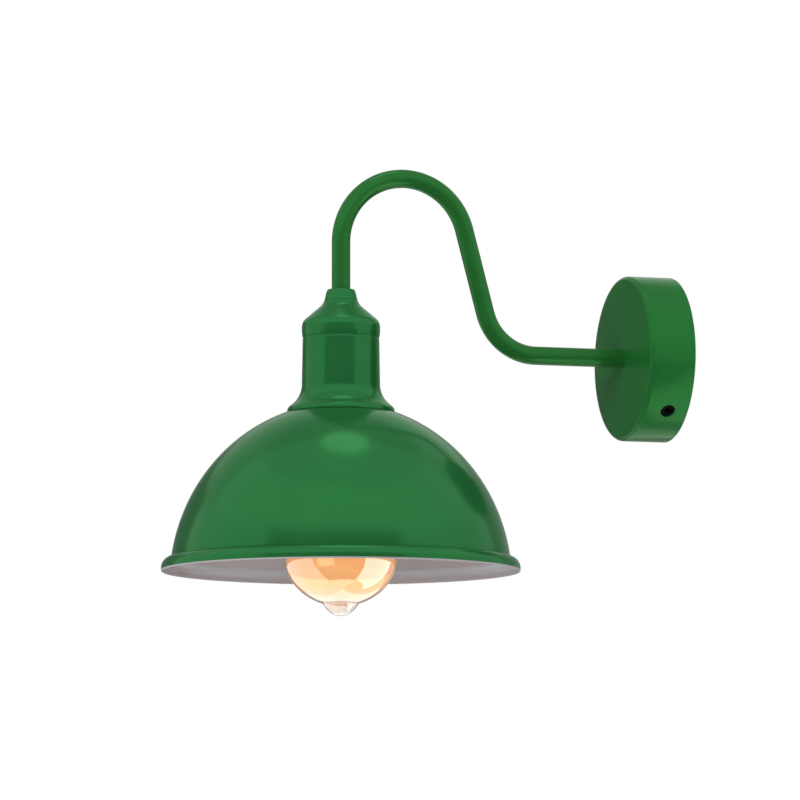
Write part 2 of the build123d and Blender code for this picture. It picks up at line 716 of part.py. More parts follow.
# Moulded skirt round the socket: a spigot into the cover, a shoulder above the shade and a thread below it.
SPIGOT_HEIGHT = 5.0
SKIRT_CHAMFER = 0.6
skirt_spigot = HOLDER_RADIUS - HOLDER_WALL - EASE
with BuildPart() as lampholder_skirt:
    revolve(
        turned(
            (INSERT_RADIUS + EASE, HOLDER_SPLIT + SPIGOT_HEIGHT),
            (skirt_spigot, HOLDER_SPLIT + SPIGOT_HEIGHT),
            (skirt_spigot, HOLDER_SPLIT),
            (HOLDER_RADIUS, HOLDER_SPLIT),
            (HOLDER_RADIUS, SHOULDER_TOP),
            (SHOULDER_RADIUS, SHOULDER_TOP),
            (SHOULDER_RADIUS, SHADE_TOP),
            (SKIRT_THREAD_RADIUS, SHADE_TOP),
            (SKIRT_THREAD_RADIUS, SKIRT_BOTTOM + SKIRT_CHAMFER),
            (SKIRT_THREAD_RADIUS - SKIRT_CHAMFER, SKIRT_BOTTOM),
            (SKIRT_BORE, SKIRT_BOTTOM),
            (SKIRT_BORE, INSERT_BOTTOM),
            (INSERT_RADIUS + EASE, INSERT_BOTTOM),
        ),
        axis=HEAD_AXIS,
    )
write(lampholder_skirt, "lampholder_skirt")

# Spun dome: a flat round the lampholder's hole, an elliptical wall, and a rim turned outward and down.
shade_underside = SHADE_TOP - SHADE_SHEET
flat_edge = DOME_RADIUS * sqrt(1 - ((shade_underside - DOME_CENTRE) / DOME_HEIGHT) ** 2)
wall_bottom = LIP_CENTRE + LIP_RADIUS - SHADE_SHEET
with BuildPart() as shade:
    with BuildSketch(HEAD):
        with Locations((0, DOME_CENTRE)):
            Ellipse(DOME_RADIUS, DOME_HEIGHT)
            Ellipse(DOME_RADIUS - SHADE_SHEET, DOME_HEIGHT - SHADE_SHEET, mode=Mode.SUBTRACT)
        with Locations((SHADE_HOLE_RADIUS, SHADE_TOP)):
            Rectangle(
                DOME_RADIUS,
                SHADE_TOP - wall_bottom,
                align=(Align.MIN, Align.MAX),
                mode=Mode.INTERSECT,
            )
            Rectangle(flat_edge - SHADE_HOLE_RADIUS - SHADE_SHEET, SHADE_SHEET, align=(Align.MIN, Align.MAX))
        with BuildLine():
            lip = CenterArc((LIP_CENTRE_RADIUS, LIP_CENTRE), LIP_RADIUS, 90, -90)
            Line(lip @ 1, (LIP_CENTRE_RADIUS + LIP_RADIUS, RIM_BOTTOM))
            offset(amount=SHADE_SHEET, side=Side.RIGHT)
        make_face()
    revolve(axis=HEAD_AXIS)
write(shade, "shade")

# Threaded ring that clamps the shade up against the skirt's shoulder, with finger grooves round its flange.
RING_FLANGE = 2.5
RING_CHAMFER = 0.6
GROOVE_RADIUS = 1.2
ring_bore = SKIRT_THREAD_RADIUS + THREAD_EASE
with BuildPart() as shade_ring:
    revolve(
        turned(
            (ring_bore, shade_underside),
            (RING_RADIUS, shade_underside),
            (RING_RADIUS, shade_underside - RING_FLANGE),
            (RING_COLLAR_RADIUS, shade_underside - RING_FLANGE - RING_CHAMFER),
            (RING_COLLAR_RADIUS, RING_BOTTOM),
            (ring_bore, RING_BOTTOM),
        ),
        axis=HEAD_AXIS,
    )
    with BuildSketch(head_level(shade_underside)):
        with PolarLocations(RING_RADIUS + GROOVE_RADIUS / 3, RING_GRIPS):
            Circle(GROOVE_RADIUS)
    extrude(amount=-RING_FLANGE, mode=Mode.SUBTRACT)
write(shade_ring, "shade_ring")

# ================================================================ bulb
# Solder tip at the centre of the cap.
TIP_RADIUS = 4.6
TIP_BOTTOM = BULB_TOP - 1.6
with BuildPart() as bulb_contact:
    with BuildSketch(HEAD):
        with BuildLine():
            Line((0, TIP_BOTTOM), (0, BULB_TOP))
            ThreePointArc((0, BULB_TOP), (TIP_RADIUS * 0.6, BULB_TOP - 0.3), (TIP_RADIUS, BULB_TOP - 1.0))
            Line((TIP_RADIUS, BULB_TOP - 1.0), (TIP_RADIUS, TIP_BOTTOM))
            Line((TIP_RADIUS, TIP_BOTTOM), (0, TIP_BOTTOM))
        make_face()
    revolve(axis=HEAD_AXIS)
write(bulb_contact, "bulb_contact")

# Black glass between the tip and the screwed shell.
CAP_BORE = 11.4
with BuildPart() as bulb_insulator:
    revolve(
        turned(
            (0, TIP_BOTTOM),
            (5.2, TIP_BOTTOM),
            (5.7, TIP_BOTTOM - 0.7),
            (CAP_BORE - EASE, CAP_THREAD_TOP),
            (CAP_BORE - EASE, CAP_THREAD_TOP - 2.0),
            (0, CAP_THREAD_TOP - 2.0),
        ),
        axis=HEAD_AXIS,
    )
write(bulb_insulator, "bulb_insulator")

# Screwed shell of the cap, its thread as rounded rings.
THREAD_START = CAP_THREAD_TOP - 0.6
RIM_RADIUS = CAP_CREST_RADIUS - 0.2
thread_end = THREAD_START - CAP_THREAD_TURNS * CAP_THREAD_PITCH
with BuildPart() as bulb_cap:
    with BuildSketch(HEAD):
        with BuildLine():
            Line((CAP_ROOT_RADIUS, CAP_THREAD_TOP), (CAP_ROOT_RADIUS, THREAD_START))
            for turn_number in range(CAP_THREAD_TURNS):
                root = (CAP_ROOT_RADIUS, THREAD_START - turn_number * CAP_THREAD_PITCH)
                crest = (CAP_CREST_RADIUS, root[1] - CAP_THREAD_PITCH / 2)
                next_root = (CAP_ROOT_RADIUS, root[1] - CAP_THREAD_PITCH)
                ThreePointArc(root, crest, next_root)
            Polyline(
                (CAP_ROOT_RADIUS, thread_end),
                (RIM_RADIUS, thread_end - 0.7),
                (RIM_RADIUS, CAP_RIM),
                (CAP_BORE, CAP_RIM),
                (CAP_BORE, CAP_THREAD_TOP),
                (CAP_ROOT_RADIUS, CAP_THREAD_TOP),
            )
        make_face()
    revolve(axis=HEAD_AXIS)
write(bulb_cap, "bulb_cap")

# Blown glass: a neck inside the cap, a long teardrop and the thick sealed tip at the bottom.
NECK_RADIUS = 11.2
NECK_UP = -36.0
NECK_DOWN = CAP_RIM - 0.3
FLANK = ((13.4, -47.0), (18.6, -68.0), (26.8, -95.0))
LOWER_STEPS = 4  # points along the elliptical lower end


def lower_end(inset, angle):
    """A point of the elliptical lower end, at an angle below its widest point."""
    across = (BULB_RADIUS - inset) * cos(radians(angle))
    return (across, BULB_WIDEST - (BULB_LOWER_HALF - inset) * sin(radians(angle)))


def bulb_outline(inset, last_angle):
    """The glass's side from the top of its neck round to its lower end, moved inward by an inset."""
    neck = NECK_RADIUS - inset
    flank = [(radius - inset, height) for radius, height in FLANK]
    lower = [lower_end(inset, last_angle * step / LOWER_STEPS) for step in range(LOWER_STEPS + 1)]
    last_tangent = (-sin(radians(last_angle)), -cos(radians(last_angle)) * BULB_LOWER_HALF / BULB_RADIUS)
    with BuildLine() as outline:
        Line((neck, NECK_UP), (neck, NECK_DOWN))
        Spline((neck, NECK_DOWN), *flank, lower[0], tangents=((0.3, -1), (0, -1)))
        Spline(*lower, tangents=((0, -1), last_tangent))
    return outline.line


pip_angle = degrees(acos(PIP_RADIUS / BULB_RADIUS))
with BuildPart() as bulb_glass:
    with BuildSketch(HEAD):
        with BuildLine():
            add(bulb_outline(0, pip_angle))
            Spline(lower_end(0, pip_angle), PIP_SIDE, (0, PIP_BOTTOM), tangents=((-0.5, -1), (-1, 0)))
            Polyline((0, PIP_BOTTOM), (0, NECK_UP), (NECK_RADIUS, NECK_UP))
        make_face()
    revolve(axis=HEAD_AXIS)
    with BuildSketch(HEAD):
        with BuildLine():
            add(bulb_outline(GLASS, 90))
            Polyline(lower_end(GLASS, 90), (0, NECK_UP), (NECK_RADIUS - GLASS, NECK_UP))
        make_face()
    revolve(axis=HEAD_AXIS, mode=Mode.SUBTRACT)
write(bulb_glass, "bulb_glass")

# Glass stem: a flared foot sealed into the neck, a pressed end and a rod with a button.
ROD_RADIUS = 1.5
PRESS_HEIGHT = -72.0
BUTTON_HEIGHT = -101.0
BUTTON_RADIUS = 2.2
with BuildPart() as bulb_stem:
    with BuildSketch(HEAD):
        with BuildLine():
            outside = Spline((10.3, -37.0), (6.0, -43.0), (4.0, -52.0), tangents=((-0.4, -1), (0, -1)))
            Polyline(
                outside @ 1,
                (3.6, PRESS_HEIGHT),
                (ROD_RADIUS, PRESS_HEIGHT - 2.0),
                (ROD_RADIUS, BUTTON_HEIGHT),
                (0, BUTTON_HEIGHT),
                (0, PRESS_HEIGHT + 8.0),
                (3.0, PRESS_HEIGHT + 8.0),
                (3.2, -52.0),
            )
            inside = Spline((3.2, -52.0), (5.2, -43.3), (9.5, -37.0), tangents=((0, 1), (0.4, 1)))
            Line(inside @ 1, outside @ 0)
        make_face()
    revolve(axis=HEAD_AXIS)
    with Locations((0, -REACH, BUTTON_HEIGHT)):
        Sphere(BUTTON_RADIUS)
write(bulb_stem, "bulb_stem")

# Wire supports that fan out from the stem, and the filament laced up and down between their ends.
SUPPORT_RADIUS = 0.3
SUPPORT_GAP = 0.6  # between a support's end and the filament
FILAMENT_RADIUS = 0.15
PRESS_CLEARANCE = 3.7  # radius of the pressed end where the upper supports leave it
UPPER_HOOKS = (9.0, -78.0)  # radius and height of their ring
LOWER_HOOKS = (15.0, -117.0)


def hook(index):
    """The end of a support: even numbers are in the upper ring, odd ones in the lower."""
    radius, height = LOWER_HOOKS if index % 2 else UPPER_HOOKS
    around = radians(index * FILAMENT_STEP)
    return Vector(radius * cos(around), -REACH + radius * sin(around), height)


def rod(start, end, radius):
    """A straight round wire."""
    path = Wire(Edge.make_line(start, end))
    with BuildPart() as wire:
        with BuildSketch(path ^ 0):
            Circle(radius)
        sweep(path=path)
    return wire.part


supports = []
for index in range(FILAMENT_STRANDS + 1):
    foot = Vector(0, -REACH, BUTTON_HEIGHT if index % 2 else PRESS_HEIGHT - 1.0)
    direction = (hook(index) - foot).normalized()
    inset = BUTTON_RADIUS + THREAD_EASE if index % 2 else PRESS_CLEARANCE
    supports.append(rod(foot + direction * inset, hook(index) - direction * SUPPORT_GAP, SUPPORT_RADIUS))
with BuildPart() as filament_supports:
    add(supports)
write(filament_supports, "filament_supports")

strands = [rod(hook(index), hook(index + 1), FILAMENT_RADIUS) for index in range(FILAMENT_STRANDS)]
with BuildPart() as filament:
    add(strands)
write(filament, "filament")
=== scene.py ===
"""Gooseneck wall sconce with a domed, stove-enamelled shade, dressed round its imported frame."""

import json
from math import acos, asin, atan2, cos, pi, radians, sin, tan

import bmesh
import bpy
from bpy.props import FloatProperty, FloatVectorProperty, IntProperty, PointerProperty
from bpy.types import Operator, Panel, PropertyGroup
from mathutils import Matrix, Vector
from mathutils.geometry import interpolate_bezier


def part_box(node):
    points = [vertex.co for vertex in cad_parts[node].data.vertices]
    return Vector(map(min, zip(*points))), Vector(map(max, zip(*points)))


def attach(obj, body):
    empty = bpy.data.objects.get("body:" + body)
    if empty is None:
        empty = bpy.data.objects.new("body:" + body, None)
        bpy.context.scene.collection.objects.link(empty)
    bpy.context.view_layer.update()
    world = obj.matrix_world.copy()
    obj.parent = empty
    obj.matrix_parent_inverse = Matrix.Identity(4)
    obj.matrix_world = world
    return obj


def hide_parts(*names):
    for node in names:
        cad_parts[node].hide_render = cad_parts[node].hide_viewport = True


bl_info = {
    "name": "Gooseneck wall sconce",
    "version": (1, 0, 0),
    "blender": (4, 5, 0),
    "location": "3D View > Sidebar > Sconce",
    "description": "Builds the pieces, finishes and studio of a gooseneck wall sconce",
    "category": "Object",
}

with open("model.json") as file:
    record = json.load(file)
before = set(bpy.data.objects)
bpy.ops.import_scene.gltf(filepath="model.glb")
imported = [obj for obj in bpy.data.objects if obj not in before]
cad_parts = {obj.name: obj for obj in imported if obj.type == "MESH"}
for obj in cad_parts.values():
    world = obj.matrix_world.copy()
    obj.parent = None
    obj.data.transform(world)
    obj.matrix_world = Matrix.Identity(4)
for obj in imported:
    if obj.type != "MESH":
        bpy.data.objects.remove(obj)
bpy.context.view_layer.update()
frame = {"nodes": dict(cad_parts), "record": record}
SLOT_OF = {row["node"]: row["material_slot"] for row in frame["record"]["subparts"]}

MM = 0.001
WELD = 0.001 * MM  # points closer than this are one
FIXTURE = "fixture"
BULB = "bulb"


# ---------------------------------------------------------------- places taken from the frame
def across(node):
    """The outer radius of a piece that is turned about an upright axis."""
    low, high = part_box(node)
    return (high.x - low.x) / 2


def top(node):
    """The height of a piece's upper end."""
    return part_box(node)[1].z


def bottom(node):
    """The height of a piece's lower end."""
    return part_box(node)[0].z


HEAD_Y = (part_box("shade")[0].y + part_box("shade")[1].y) / 2
HEAD_SIDE = Matrix.Translation((0, HEAD_Y, 0))
WALL_SIDE = Matrix.Rotation(pi / 2, 4, "X")  # turns an upright axis so that it points away from the wall


def linear(hex_colour):
    """An sRGB colour such as #2b6a37 as linear red, green, blue and 1."""
    channels = [int(hex_colour[i:i + 2], 16) / 255 for i in (1, 3, 5)]
    return [c / 12.92 if c <= 0.04045 else ((c + 0.055) / 1.055) ** 2.4 for c in channels] + [1.0]


def length(name, description, default_mm):
    """A size that the panel shows as a length; its default is given in millimetres."""
    default = default_mm * MM
    return FloatProperty(
        name=name, description=description, default=default, unit="LENGTH", min=0, precision=5
    )


def angle(name, description, default_degrees):
    """An angle that the panel shows in degrees."""
    default = radians(default_degrees)
    return FloatProperty(name=name, description=description, default=default, subtype="ANGLE")


def colour(name, description, hex_colour):
    """A colour that the panel shows as a swatch."""
    default = linear(hex_colour)[:3]
    return FloatVectorProperty(
        name=name, description=description, default=default, subtype="COLOR", size=3, min=0, max=1
    )


# ---------------------------------------------------------------- settings
class SconceSizes(PropertyGroup):
    """The sizes that shape the pieces, beside those that the frame gives"""

    sheet: length("Sheet", "Thickness of the spun steel", 1.0)
    canopy_edge: length("Canopy edge", "Outer radius of the canopy's front edge", 2.5)
    shade_sheet: length("Shade sheet", "Thickness of the shade's steel", 0.9)
    dome_radius: length("Dome radius", "Half the width of the dome's ellipse", 100.3)
    dome_height: length("Dome height", "Half the height of the dome's ellipse", 106.0)
    dome_drop: length("Dome drop", "From the shade's top down to the ellipse's centre", 100.8)
    lip_radius: length("Lip radius", "Radius of the quarter round at the rim", 6.6)
    lip_drop: length("Lip drop", "From the lip's widest point to the rim's edge", 2.0)
    bare_edge: length("Bare edge", "Height of the pale line along the rim's edge", 0.9)
    tube_wall: length("Tube wall", "Thickness of the arm's wall", 1.5)
    lower_bend: length("Lower bend", "Centre line radius of the arm's lower bend", 32.5)
    arch_bend: length("Arch bend", "Centre line radius of the arm's arch", 39.0)
    glass: length("Glass", "Thickness of the bulb's glass", 0.8)
    tip_glass: length("Tip glass", "Thickness of the glass at the bulb's sealed tip", 1.2)
    thread_pitch: length("Thread pitch", "Pitch of the bulb's thread", 3.629)
    lower_turn: angle("Lower turn", "Angle of the arm's lower bend", 75)
    segments: IntProperty(
        name="Segments", description="Sides round a spun piece", default=192, min=12, max=512
    )


class SconceColours(PropertyGroup):
    """The colours of the lacquer, the lining and the glass"""

    # The three greens are one lacquer, each copy tuned to the light on its part: their differences are
    # painted light.
    green: colour("Green", "Stoved lacquer of head and shade", "#2d7c42")
    arm_green: colour("Arm green", "Stoved lacquer of the arm", "#2f7b38")
    canopy_green: colour("Canopy green", "Stoved lacquer of the canopy", "#2a7f3a")
    # The lining's white is set grey: painted shade for the dim inside of the dome.
    white: colour("White", "Vitreous enamel inside the shade", "#cac8ce")
    amber: colour("Amber", "Lustre of the bulb's glass", "#fddbad")


class SconceStudio(PropertyGroup):
    """The camera's place and the light from all round"""

    azimuth: angle("Azimuth", "Where the camera stands, turned from the lamp's front", 71.08)
    elevation: angle("Elevation", "Height of the camera as an angle", -5.56)
    distance: length("Distance", "From the camera to the point that it looks at", 4500)
    aim_out: length("Aim out", "From the wall to the point looked at", 167.4)
    aim_down: length("Aim down", "From the arm's level run down to the point looked at", 29.0)
    lens: FloatProperty(name="Lens", description="Focal length in millimetres", default=344.6, min=1)
    ambient: FloatProperty(name="Ambient", description="Light from all round", default=0.22, min=0)


# ---------------------------------------------------------------- nodes and meshes
def add(tree, kind, inputs=(), **settings):
    """Adds a node: settings are its own properties, inputs are values or sockets for its sockets."""
    node = tree.nodes.new(kind)
    for name, value in settings.items():
        setattr(node, name, value)
    for key, value in dict(inputs).items():
        if isinstance(value, bpy.types.NodeSocket):
            tree.links.new(value, node.inputs[key])
        else:
            node.inputs[key].default_value = value
    return node


def new_tree(name, *inputs):
    """A Geometry Nodes tree with its named inputs, each given as name, socket type and default."""
    tree = bpy.data.node_groups.new(name, "GeometryNodeTree")
    tree.interface.new_socket("Geometry", in_out="INPUT", socket_type="NodeSocketGeometry")
    for label, kind, default in inputs:
        socket = tree.interface.new_socket(label, in_out="INPUT", socket_type=kind)
        if default is not None:
            socket.default_value = default
    tree.interface.new_socket("Geometry", in_out="OUTPUT", socket_type="NodeSocketGeometry")
    return tree


def link(name, data):
    """A new object in the scene."""
    piece = bpy.data.objects.new(name, data)
    bpy.context.scene.collection.objects.link(piece)
    return piece


def baked(name, source, place=None):
    """The evaluated object as a plain mesh of its own, moved to its place, with the source removed."""
    depsgraph = bpy.context.evaluated_depsgraph_get()
    mesh = bpy.data.meshes.new_from_object(source.evaluated_get(depsgraph), depsgraph=depsgraph)
    bpy.data.objects.remove(source)
    if place is not None:
        mesh.transform(place)
    mesh.name = name
    return link(name, mesh)


def run_tree(name, data, tree, values, place=None):
    """Runs a Geometry Nodes tree on a mesh or curve and returns the result as a plain piece."""
    source = link(name + "_source", data)
    modifier = source.modifiers.new(tree.name, "NODES")
    modifier.node_group = tree
    for item in tree.interface.items_tree:
        if item.in_out == "INPUT" and item.name in values:
            modifier[item.identifier] = values[item.name]
    return baked(name, source, place)


def outward(piece):
    """Turns a closed mesh's faces outward if they all point inward."""
    shape = bmesh.new()
    shape.from_mesh(piece.data)
    if shape.calc_volume(signed=True) < 0:
        bmesh.ops.reverse_faces(shape, faces=shape.faces)
    shape.to_mesh(piece.data)
    shape.free()


def finished(piece, body, node, sharp=35):
    """Smooths a piece except at its sharp edges, hangs it under its body, and hides the CAD node that it
    stands for.
    """
    piece.data.shade_smooth()
    piece.data.set_sharp_from_angle(angle=radians(sharp))
    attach(piece, body)
    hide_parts(node)


# ---------------------------------------------------------------- outlines, as radius and height
def rounded(*corners, steps=6):
    """A line through corners, each given as radius, height and the corner's own rounding."""
    line = []
    for index, (x, y, rounding) in enumerate(corners):
        here = Vector((x, y))
        if not rounding:
            line.append(here)
            continue
        before = (Vector(corners[index - 1][:2]) - here).normalized()
        after = (Vector(corners[index + 1][:2]) - here).normalized()
        half = before.angle(after) / 2
        centre = here + (before + after).normalized() * rounding / sin(half)
        start = here + before * rounding / tan(half) - centre
        end = here + after * rounding / tan(half) - centre
        sweep = atan2(start.x * end.y - start.y * end.x, start.dot(end))
        for step in range(steps + 1):
            line.append(centre + Matrix.Rotation(sweep * step / steps, 2) @ start)
    return line


def arc(centre, radius, start, end, steps):
    """Points of an arc, from one angle to another in degrees."""
    angles = [radians(start + (end - start) * step / steps) for step in range(steps + 1)]
    return [Vector((centre[0] + radius * cos(a), centre[1] + radius * sin(a))) for a in angles]


def thickened(line, thickness):
    """The same line moved sideways by a thickness, to the right of its direction."""
    least_square = 0.3  # keeps a very sharp corner from shooting out
    moved = []
    for index, here in enumerate(line):
        before = line[max(index - 1, 0)]
        after = line[min(index + 1, len(line) - 1)]
        along = (here - before).normalized() + (after - here).normalized()
        along.normalize()
        side = Vector((along.y, -along.x))
        reference = (after - here) if index == 0 else (here - before)
        square = Vector((reference.y, -reference.x)).normalized()
        moved.append(here + side * thickness / max(side.dot(square), least_square))
    return moved


def sheet_loop(line, thickness):
    """A closed outline of spun sheet: the line, and back along its other face."""
    back = thickened(line, thickness)
    return line + back[::-1] + line[:1]


# ---------------------------------------------------------------- Geometry Nodes
def spun_tree():
    """Turns an outline about Z, one row for each of its points, and presses a screw thread into it."""
    tree = new_tree(
        "Spun piece",
        ("Segments", "NodeSocketInt", 96),
        ("Thread Depth", "NodeSocketFloat", 0.0),
        ("Thread Pitch", "NodeSocketFloat", 0.0036),
        ("Thread Top", "NodeSocketFloat", 0.0),
        ("Thread Bottom", "NodeSocketFloat", -1.0),
        ("Outside", "NodeSocketMaterial", None),
        ("Inside", "NodeSocketMaterial", None),
    )
    given = add(tree, "NodeGroupInput").outputs
    rows = add(tree, "GeometryNodeAttributeDomainSize", {0: given["Geometry"]}).outputs["Point Count"]
    columns = add(tree, "ShaderNodeMath", {0: given["Segments"], 1: 1.0}, operation="ADD").outputs[0]
    grid = add(tree, "GeometryNodeMeshGrid", {"Vertices X": columns, "Vertices Y": rows}).outputs["Mesh"]
    index = add(tree, "GeometryNodeInputIndex").outputs[0]
    row = add(tree, "ShaderNodeMath", {0: index, 1: rows}, operation="MODULO").outputs[0]
    quotient = add(tree, "ShaderNodeMath", {0: index, 1: rows}, operation="DIVIDE").outputs[0]
    column = add(tree, "ShaderNodeMath", {0: quotient}, operation="FLOOR").outputs[0]
    share = add(tree, "ShaderNodeMath", {0: column, 1: given["Segments"]}, operation="DIVIDE").outputs[0]
    around = add(tree, "ShaderNodeMath", {0: share, 1: 2 * pi}, operation="MULTIPLY").outputs[0]
    position = add(tree, "GeometryNodeInputPosition").outputs[0]
    point = add(
        tree,
        "GeometryNodeSampleIndex",
        {"Geometry": given["Geometry"], "Value": position, "Index": row},
        data_type="FLOAT_VECTOR",
    ).outputs[0]
    lining = add(tree, "GeometryNodeInputNamedAttribute", {"Name": "lining"}, data_type="FLOAT").outputs[0]
    inner = add(
        tree, "GeometryNodeSampleIndex", {"Geometry": given["Geometry"], "Value": lining, "Index": row}
    ).outputs[0]
    parts = add(tree, "ShaderNodeSeparateXYZ", {0: point}).outputs
    cycles = add(
        tree, "ShaderNodeMath", {0: parts["Z"], 1: given["Thread Pitch"]}, operation="DIVIDE"
    ).outputs[0]
    phase = add(tree, "ShaderNodeMath", {0: cycles, 1: share}, operation="SUBTRACT").outputs[0]
    turns = add(tree, "ShaderNodeMath", {0: phase, 1: 2 * pi}, operation="MULTIPLY").outputs[0]
    wave = add(tree, "ShaderNodeMath", {0: turns}, operation="COSINE").outputs[0]
    run_in_turns = 0.8
    fades = []
    for end, sign in (("Thread Top", -1), ("Thread Bottom", 1)):
        run_in = add(
            tree,
            "ShaderNodeMath",
            {0: given["Thread Pitch"], 1: sign * run_in_turns, 2: given[end]},
            operation="MULTIPLY_ADD",
        ).outputs[0]
        fades.append(
            add(
                tree,
                "ShaderNodeMapRange",
                {"Value": parts["Z"], "From Min": given[end], "From Max": run_in},
                interpolation_type="SMOOTHSTEP",
            ).outputs[0]
        )
    fade = add(tree, "ShaderNodeMath", {0: fades[0], 1: fades[1]}, operation="MULTIPLY").outputs[0]
    depth = add(tree, "ShaderNodeMath", {0: wave, 1: given["Thread Depth"]}, operation="MULTIPLY").outputs[0]
    bulge = add(
        tree, "ShaderNodeMath", {0: depth, 1: fade, 2: parts["X"]}, operation="MULTIPLY_ADD"
    ).outputs[0]
    flat = add(tree, "ShaderNodeCombineXYZ", {"X": bulge, "Z": parts["Z"]}).outputs[0]
    turned = add(
        tree, "ShaderNodeVectorRotate", {"Vector": flat, "Angle": around}, rotation_type="Z_AXIS"
    ).outputs[0]
    placed = add(tree, "GeometryNodeSetPosition", {"Geometry": grid, "Position": turned}).outputs[0]
    of_row = add(tree, "GeometryNodeFieldOnDomain", {0: inner}, domain="POINT").outputs[0]
    marked = add(
        tree,
        "GeometryNodeStoreNamedAttribute",
        {"Geometry": placed, "Name": "lined", "Value": of_row},
        data_type="FLOAT",
        domain="FACE",
    ).outputs[0]
    closed = add(tree, "GeometryNodeMergeByDistance", {"Geometry": marked, "Distance": WELD}).outputs[0]
    real = add(tree, "GeometryNodeRealizeInstances", {"Geometry": closed}).outputs[0]
    coated = {"Geometry": real, "Material": given["Outside"]}
    coated = add(tree, "GeometryNodeSetMaterial", coated).outputs[0]
    named = add(tree, "GeometryNodeInputNamedAttribute", {"Name": "lined"}, data_type="FLOAT").outputs[0]
    chosen = add(tree, "ShaderNodeMath", {0: named, 1: 0.5}, operation="GREATER_THAN").outputs[0]
    lined = {"Geometry": coated, "Selection": chosen, "Material": given["Inside"]}
    lined = add(tree, "GeometryNodeSetMaterial", lined).outputs[0]
    add(tree, "NodeGroupOutput", {0: lined})
    return tree


def ring_tree():
    """Repeats the given mesh round the Z axis and joins the copies where they meet."""
    tree = new_tree(
        "Ring of pieces",
        ("Count", "NodeSocketInt", 6),
        ("Finish", "NodeSocketMaterial", None),
    )
    given = add(tree, "NodeGroupInput").outputs
    points = add(tree, "GeometryNodeMeshLine", {"Count": given["Count"], "Offset": (0, 0, 0)}).outputs[0]
    index = add(tree, "GeometryNodeInputIndex").outputs[0]
    share = add(tree, "ShaderNodeMath", {0: index, 1: given["Count"]}, operation="DIVIDE").outputs[0]
    around = add(tree, "ShaderNodeMath", {0: share, 1: 2 * pi}, operation="MULTIPLY").outputs[0]
    turn = add(tree, "ShaderNodeCombineXYZ", {"Z": around}).outputs[0]
    copies = {"Points": points, "Instance": given["Geometry"], "Rotation": turn}
    copies = add(tree, "GeometryNodeInstanceOnPoints", copies).outputs[0]
    real = add(tree, "GeometryNodeRealizeInstances", {"Geometry": copies}).outputs[0]
    joined = add(tree, "GeometryNodeMergeByDistance", {"Geometry": real, "Distance": WELD}).outputs[0]
    coated = {"Geometry": joined, "Material": given["Finish"]}
    coated = add(tree, "GeometryNodeSetMaterial", coated).outputs[0]
    add(tree, "NodeGroupOutput", {0: coated})
    return tree


def tube_tree():
    """Runs a round section along a curve."""
    tree = new_tree(
        "Round section",
        ("Radius", "NodeSocketFloat", 0.001),
        ("Sides", "NodeSocketInt", 32),
        ("Caps", "NodeSocketBool", False),
        ("Finish", "NodeSocketMaterial", None),
    )
    given = add(tree, "NodeGroupInput").outputs
    section = add(
        tree, "GeometryNodeCurvePrimitiveCircle", {"Resolution": given["Sides"], "Radius": given["Radius"]}
    ).outputs[0]
    tube = add(
        tree,
        "GeometryNodeCurveToMesh",
        {"Curve": given["Geometry"], "Profile Curve": section, "Fill Caps": given["Caps"]},
    ).outputs[0]
    real = add(tree, "GeometryNodeRealizeInstances", {"Geometry": tube}).outputs[0]
    coated = add(tree, "GeometryNodeSetMaterial", {"Geometry": real, "Material": given["Finish"]}).outputs[0]
    add(tree, "NodeGroupOutput", {0: coated})
    return tree


TREES = {}


def tree_of(make):
    """Each tree is made once, when a piece first needs it."""
    if make not in TREES:
        TREES[make] = make()
    return TREES[make]


def spun(name, outline, place, outside, inside=None, lined=(), segments=None, thread=None):
    """A piece turned about an axis. The numbers in lined say which points of the outline are inside."""
    mesh = bpy.data.meshes.new(name)
    mesh.from_pydata([(x, 0, z) for x, z in outline], [(i, i + 1) for i in range(len(outline) - 1)], [])
    lining = mesh.attributes.new("lining", "FLOAT", "POINT")
    for index in lined:
        lining.data[index].value = 1.0
    values = {
        "Segments": segments or bpy.context.scene.sconce_sizes.segments,
        "Outside": outside,
        "Inside": inside or outside,
    }
    values.update(thread or {})
    piece = run_tree(name, mesh, tree_of(spun_tree), values, place)
    if "lined" in piece.data.attributes:
        piece.data.attributes.remove(piece.data.attributes["lined"])
    outward(piece)
    return piece


def path_curve(name, *paths):
    """A curve whose splines run straight from point to point, with points close together round a bend."""
    curve = bpy.data.curves.new(name, "CURVE")
    curve.dimensions = "3D"
    for points in paths:
        spline = curve.splines.new("POLY")
        spline.points.add(len(points) - 1)
        for target, point in zip(spline.points, points):
            target.co = (*point, 1)
    return curve


def eased(name, node, edge_mm):
    """A copy of a CAD node's shape with its sharp edges eased, as tumbling or a mould leaves them."""
    shape = bmesh.new()
    shape.from_mesh(frame["nodes"][node].data)
    bmesh.ops.remove_doubles(shape, verts=shape.verts, dist=WELD)
    bmesh.ops.dissolve_limit(shape, angle_limit=radians(1), verts=shape.verts, edges=shape.edges)
    mesh = bpy.data.meshes.new(name)
    shape.to_mesh(mesh)
    shape.free()
    mesh.materials.clear()
    mesh.materials.append(finish(SLOT_OF[node]))
    source = link(name + "_source", mesh)
    bevel = source.modifiers.new("eased edges", "BEVEL")
    bevel.width = edge_mm * MM
    bevel.segments = 2
    bevel.limit_method = "ANGLE"
    bevel.angle_limit = radians(40)
    return baked(name, source)


# ---------------------------------------------------------------- materials
def material(name, base, **sockets):
    """A new material with its shader's plain values; returns the material, its tree and its shader."""
    made = bpy.data.materials.new(name)
    made.use_nodes = True
    tree = made.node_tree
    shader = tree.nodes["Principled BSDF"]
    shader.inputs["Base Color"].default_value = linear(base) if isinstance(base, str) else base
    for key, value in sockets.items():
        shader.inputs[key.replace("_", " ")].default_value = value
    return made, tree, shader


